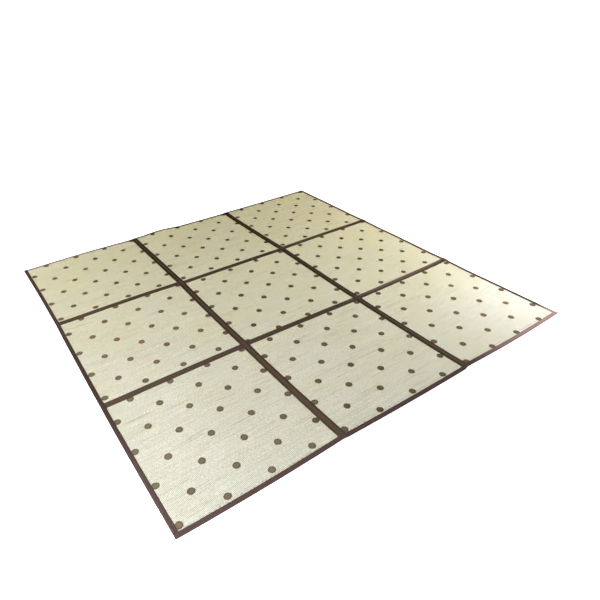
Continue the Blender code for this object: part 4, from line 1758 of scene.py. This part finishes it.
@dataclass
class EdgeBindings:
    """The bindings of the four edges and the short fold by the back right corner."""

    sewing: Sewing
    finish: ClothFinish = BINDING_FINISH
    back_finish: ClothFinish = BACK_FINISH
    station: float = 0.006

    def side(self, edge: Edge, width: float, cloth: bpy.types.Material) -> None:
        """Makes the left or right binding, from the front binding to its closed end at the back."""
        line = 0 if edge is Edge.LEFT else 3
        strip = Strip.LEFT.value if line == 0 else Strip.RIGHT.value
        a = np.array([0.0 if line == 0 else 1.0])
        front = float(FORM.cross_line(0, strip, a)[0]) + FORM.front_binding + FORM.gap
        back = float(FORM.cross_line(3, strip, a)[0])
        y = np.append(even_steps(front, back - FORM.tape, self.station), back)
        over = np.zeros(y.shape)
        for seam in (1, 2):
            away = y - FORM.cross_line(seam, strip, a)
            over = np.maximum(over, FORM.over_tapes(away, FORM.cross_tape_half))
        word = edge.name.lower()
        line_x = FORM.long_line(line, y)
        binding = Binding(
            f"edge_binding_{word}", edge, (line_x, y), width, width, over, 1.0 + line,
            closed=(False, True),
        )
        self.finish_binding(binding, f"binding_{word}", "edge_binding", cloth)

    def corners(self, line: int) -> tuple[float, float]:
        """X of the left and right end of the front or back edge."""
        y = np.array([FORM.grid(line)])
        return float(FORM.long_line(0, y)[0]), float(FORM.long_line(3, y)[0])

    def front(self, cloth: bpy.types.Material) -> None:
        """Makes the front binding, over the ends of the long tapes and closed at both its ends."""
        left, right = self.corners(0)
        inside = even_steps(left + FORM.tape, right - FORM.tape, self.station)
        x = np.concatenate([[left], inside, [right]])
        y = FORM.edge_y(0, x)
        over = np.zeros(x.shape)
        for seam in (1, 2):
            away = x - FORM.long_line(seam, y)
            over = np.maximum(over, FORM.over_tapes(away, FORM.long_tape_half))
        width = FORM.front_binding
        binding = Binding(
            "edge_binding_front", Edge.FRONT, (x, y), width, width, over, 0.4,
            closed=(True, True), tip=True,
        )
        self.finish_binding(binding, "binding_front", "edge_binding", cloth)

    def back(self, cloth: bpy.types.Material, back_cloth: bpy.types.Material) -> None:
        """Makes the back binding and the dark fold between it and the right binding."""
        left, right = self.corners(3)
        near = right - FORM.right_binding - FORM.gap
        far = near - FORM.fold_length
        runs = (
            (left + FORM.left_binding + FORM.gap, far - FORM.gap, FORM.back_under, FORM.back_top,
             5.2, "edge_binding_back", "binding_back", "back_binding", back_cloth),
            (far, near, FORM.fold_width, FORM.fold_width,
             6.1, "corner_fold_back_right", "corner_fold", "edge_binding", cloth),
        )
        for start, end, under, top, phase, name, node, slot, material in runs:
            x = even_steps(start, end, self.station)
            line = (x, FORM.edge_y(3, x))
            binding = Binding(name, Edge.BACK, line, under, top, np.zeros(x.shape), phase)
            self.finish_binding(binding, node, slot, material)

    def finish_binding(
        self, binding: Binding, node: str, slot: str, material: bpy.types.Material
    ) -> None:
        """Makes and sews a binding."""
        piece = binding.build(material)
        settle(piece, node)
        seed = int(binding.phase * 10)
        sewn = self.sewing.sew(f"stitches_{binding.name}", [binding.seam()], seed, slot)
        binding.flat()

    def build(self) -> None:
        """Makes all the bindings."""
        cloth = self.finish.material()
        back_cloth = self.back_finish.material()
        self.front(cloth)
        self.side(Edge.LEFT, FORM.left_binding, cloth)
        self.side(Edge.RIGHT, FORM.right_binding, cloth)
        self.back(cloth, back_cloth)


# The studio.


class Softbox(NamedTuple):
    """A soft light: where it stands, what it faces, its size, power and colour."""

    name: str
    place: tuple[float, float, float]
    target: tuple[float, float, float]
    size: float
    power: float
    colour: Colour


@dataclass
class Studio:
    """The pale floor, the lights and the camera."""

    floor_size: float = 90.0
    floor_level: float = -0.0003
    floor_colour: Colour = (0.90, 0.90, 0.90)
    floor_glow: float = 0.85
    sky_colour: Colour = (1.0, 0.97, 0.92)
    sky_strength: float = 0.24
    softboxes: tuple[Softbox, ...] = (
        Softbox("softbox_left", (-2.15, -1.3, 1.2), (-0.6, -0.7, 0.0), 1.2, 100.0,
                (0.86, 0.89, 1.0)),
        Softbox("softbox_rear", (-1.8, 1.5, 1.2), (-0.8, 0.2, 0.0), 1.4, 39.0, (1.0, 1.0, 0.95)),
        Softbox("softbox_right", (2.3, -0.2, 1.0), (0.7, -0.35, 0.0), 1.2, 50.0, (1.0, 1.0, 1.0)),
        Softbox("softbox_low", (1.1, -0.85, 0.5), (1.1, -0.75, 0.0), 0.4, 3.8, (0.93, 0.93, 1.0)),
    )
    lens: float = 30.15
    sensor: float = 36.0
    shift: tuple[float, float] = (0.0590, 0.0029)
    azimuth: float = math.radians(327.256)
    elevation: float = math.radians(33.555)
    roll: float = math.radians(-1.974)
    distance: float = 2.3030
    target: tuple[float, float, float] = (-0.0618, -0.0787, 0.0025)

    def floor(self) -> None:
        """Makes the floor."""
        half = self.floor_size / 2
        corners = ((-half, -half), (half, -half), (half, half), (-half, half))
        points = np.array([(*corner, self.floor_level) for corner in corners])
        floor = mesh_object("studio_floor", points, [np.array([[0, 1, 2, 3]])])
        material = bpy.data.materials.new("studio_floor_paint")
        material.use_nodes = True
        shader = material.node_tree.nodes["Principled BSDF"]
        for socket, value in (
            ("Base Color", (*self.floor_colour, 1.0)),
            ("Roughness", 0.9),
            ("Specular IOR Level", 0.1),
            ("Emission Color", (1.0, 1.0, 1.0, 1.0)),
            ("Emission Strength", self.floor_glow),
        ):
            shader.inputs[socket].default_value = value
        floor.data.materials.append(material)

    def lights(self) -> None:
        """Makes the sky and the softboxes."""
        scene = bpy.context.scene
        scene.view_settings.view_transform = "Standard"
        world = bpy.data.worlds.new("studio_sky")
        scene.world = world
        world.use_nodes = True
        sky = world.node_tree.nodes["Background"]
        sky.inputs["Color"].default_value = (*self.sky_colour, 1.0)
        sky.inputs["Strength"].default_value = self.sky_strength
        for box in self.softboxes:
            light = bpy.data.lights.new(box.name, "AREA")
            light.size = box.size
            light.energy = box.power
            light.color = box.colour
            holder = bpy.data.objects.new(box.name, light)
            holder.location = box.place
            towards = Vector(box.target) - Vector(box.place)
            holder.rotation_euler = towards.to_track_quat("-Z", "Y").to_euler()
            holder.visible_camera = False
            scene.collection.objects.link(holder)

    def camera(self) -> None:
        """Makes the camera at the photograph's angle."""
        back = Vector(
            (
                math.sin(self.azimuth) * math.cos(self.elevation),
                -math.cos(self.azimuth) * math.cos(self.elevation),
                math.sin(self.elevation),
            )
        )
        level = (-back).cross(Vector((0.0, 0.0, 1.0))).normalized()
        upright = level.cross(-back)
        right = math.cos(self.roll) * level + math.sin(self.roll) * upright
        up = math.cos(self.roll) * upright - math.sin(self.roll) * level
        data = bpy.data.cameras.new("studio_camera")
        data.lens = self.lens
        data.sensor_width = self.sensor
        data.shift_x, data.shift_y = self.shift
        camera = bpy.data.objects.new("studio_camera", data)
        turn = Matrix((right, up, back)).transposed().to_4x4()
        camera.matrix_world = Matrix.Translation(Vector(self.target) + self.distance * back) @ turn
        bpy.context.scene.collection.objects.link(camera)
        bpy.context.scene.camera = camera

    def build(self) -> None:
        """Makes the studio."""
        self.floor()
        self.lights()
        self.camera()


def main() -> None:
    """Builds the studio and the mat in order."""
    logging.basicConfig(level=logging.INFO, format="%(message)s")
    Studio().build()
    RushPanels().build()
    sewing = Sewing()
    SeamTapes(sewing).build()
    EdgeBindings(sewing).build()


if __name__ == "__main__":
    main()
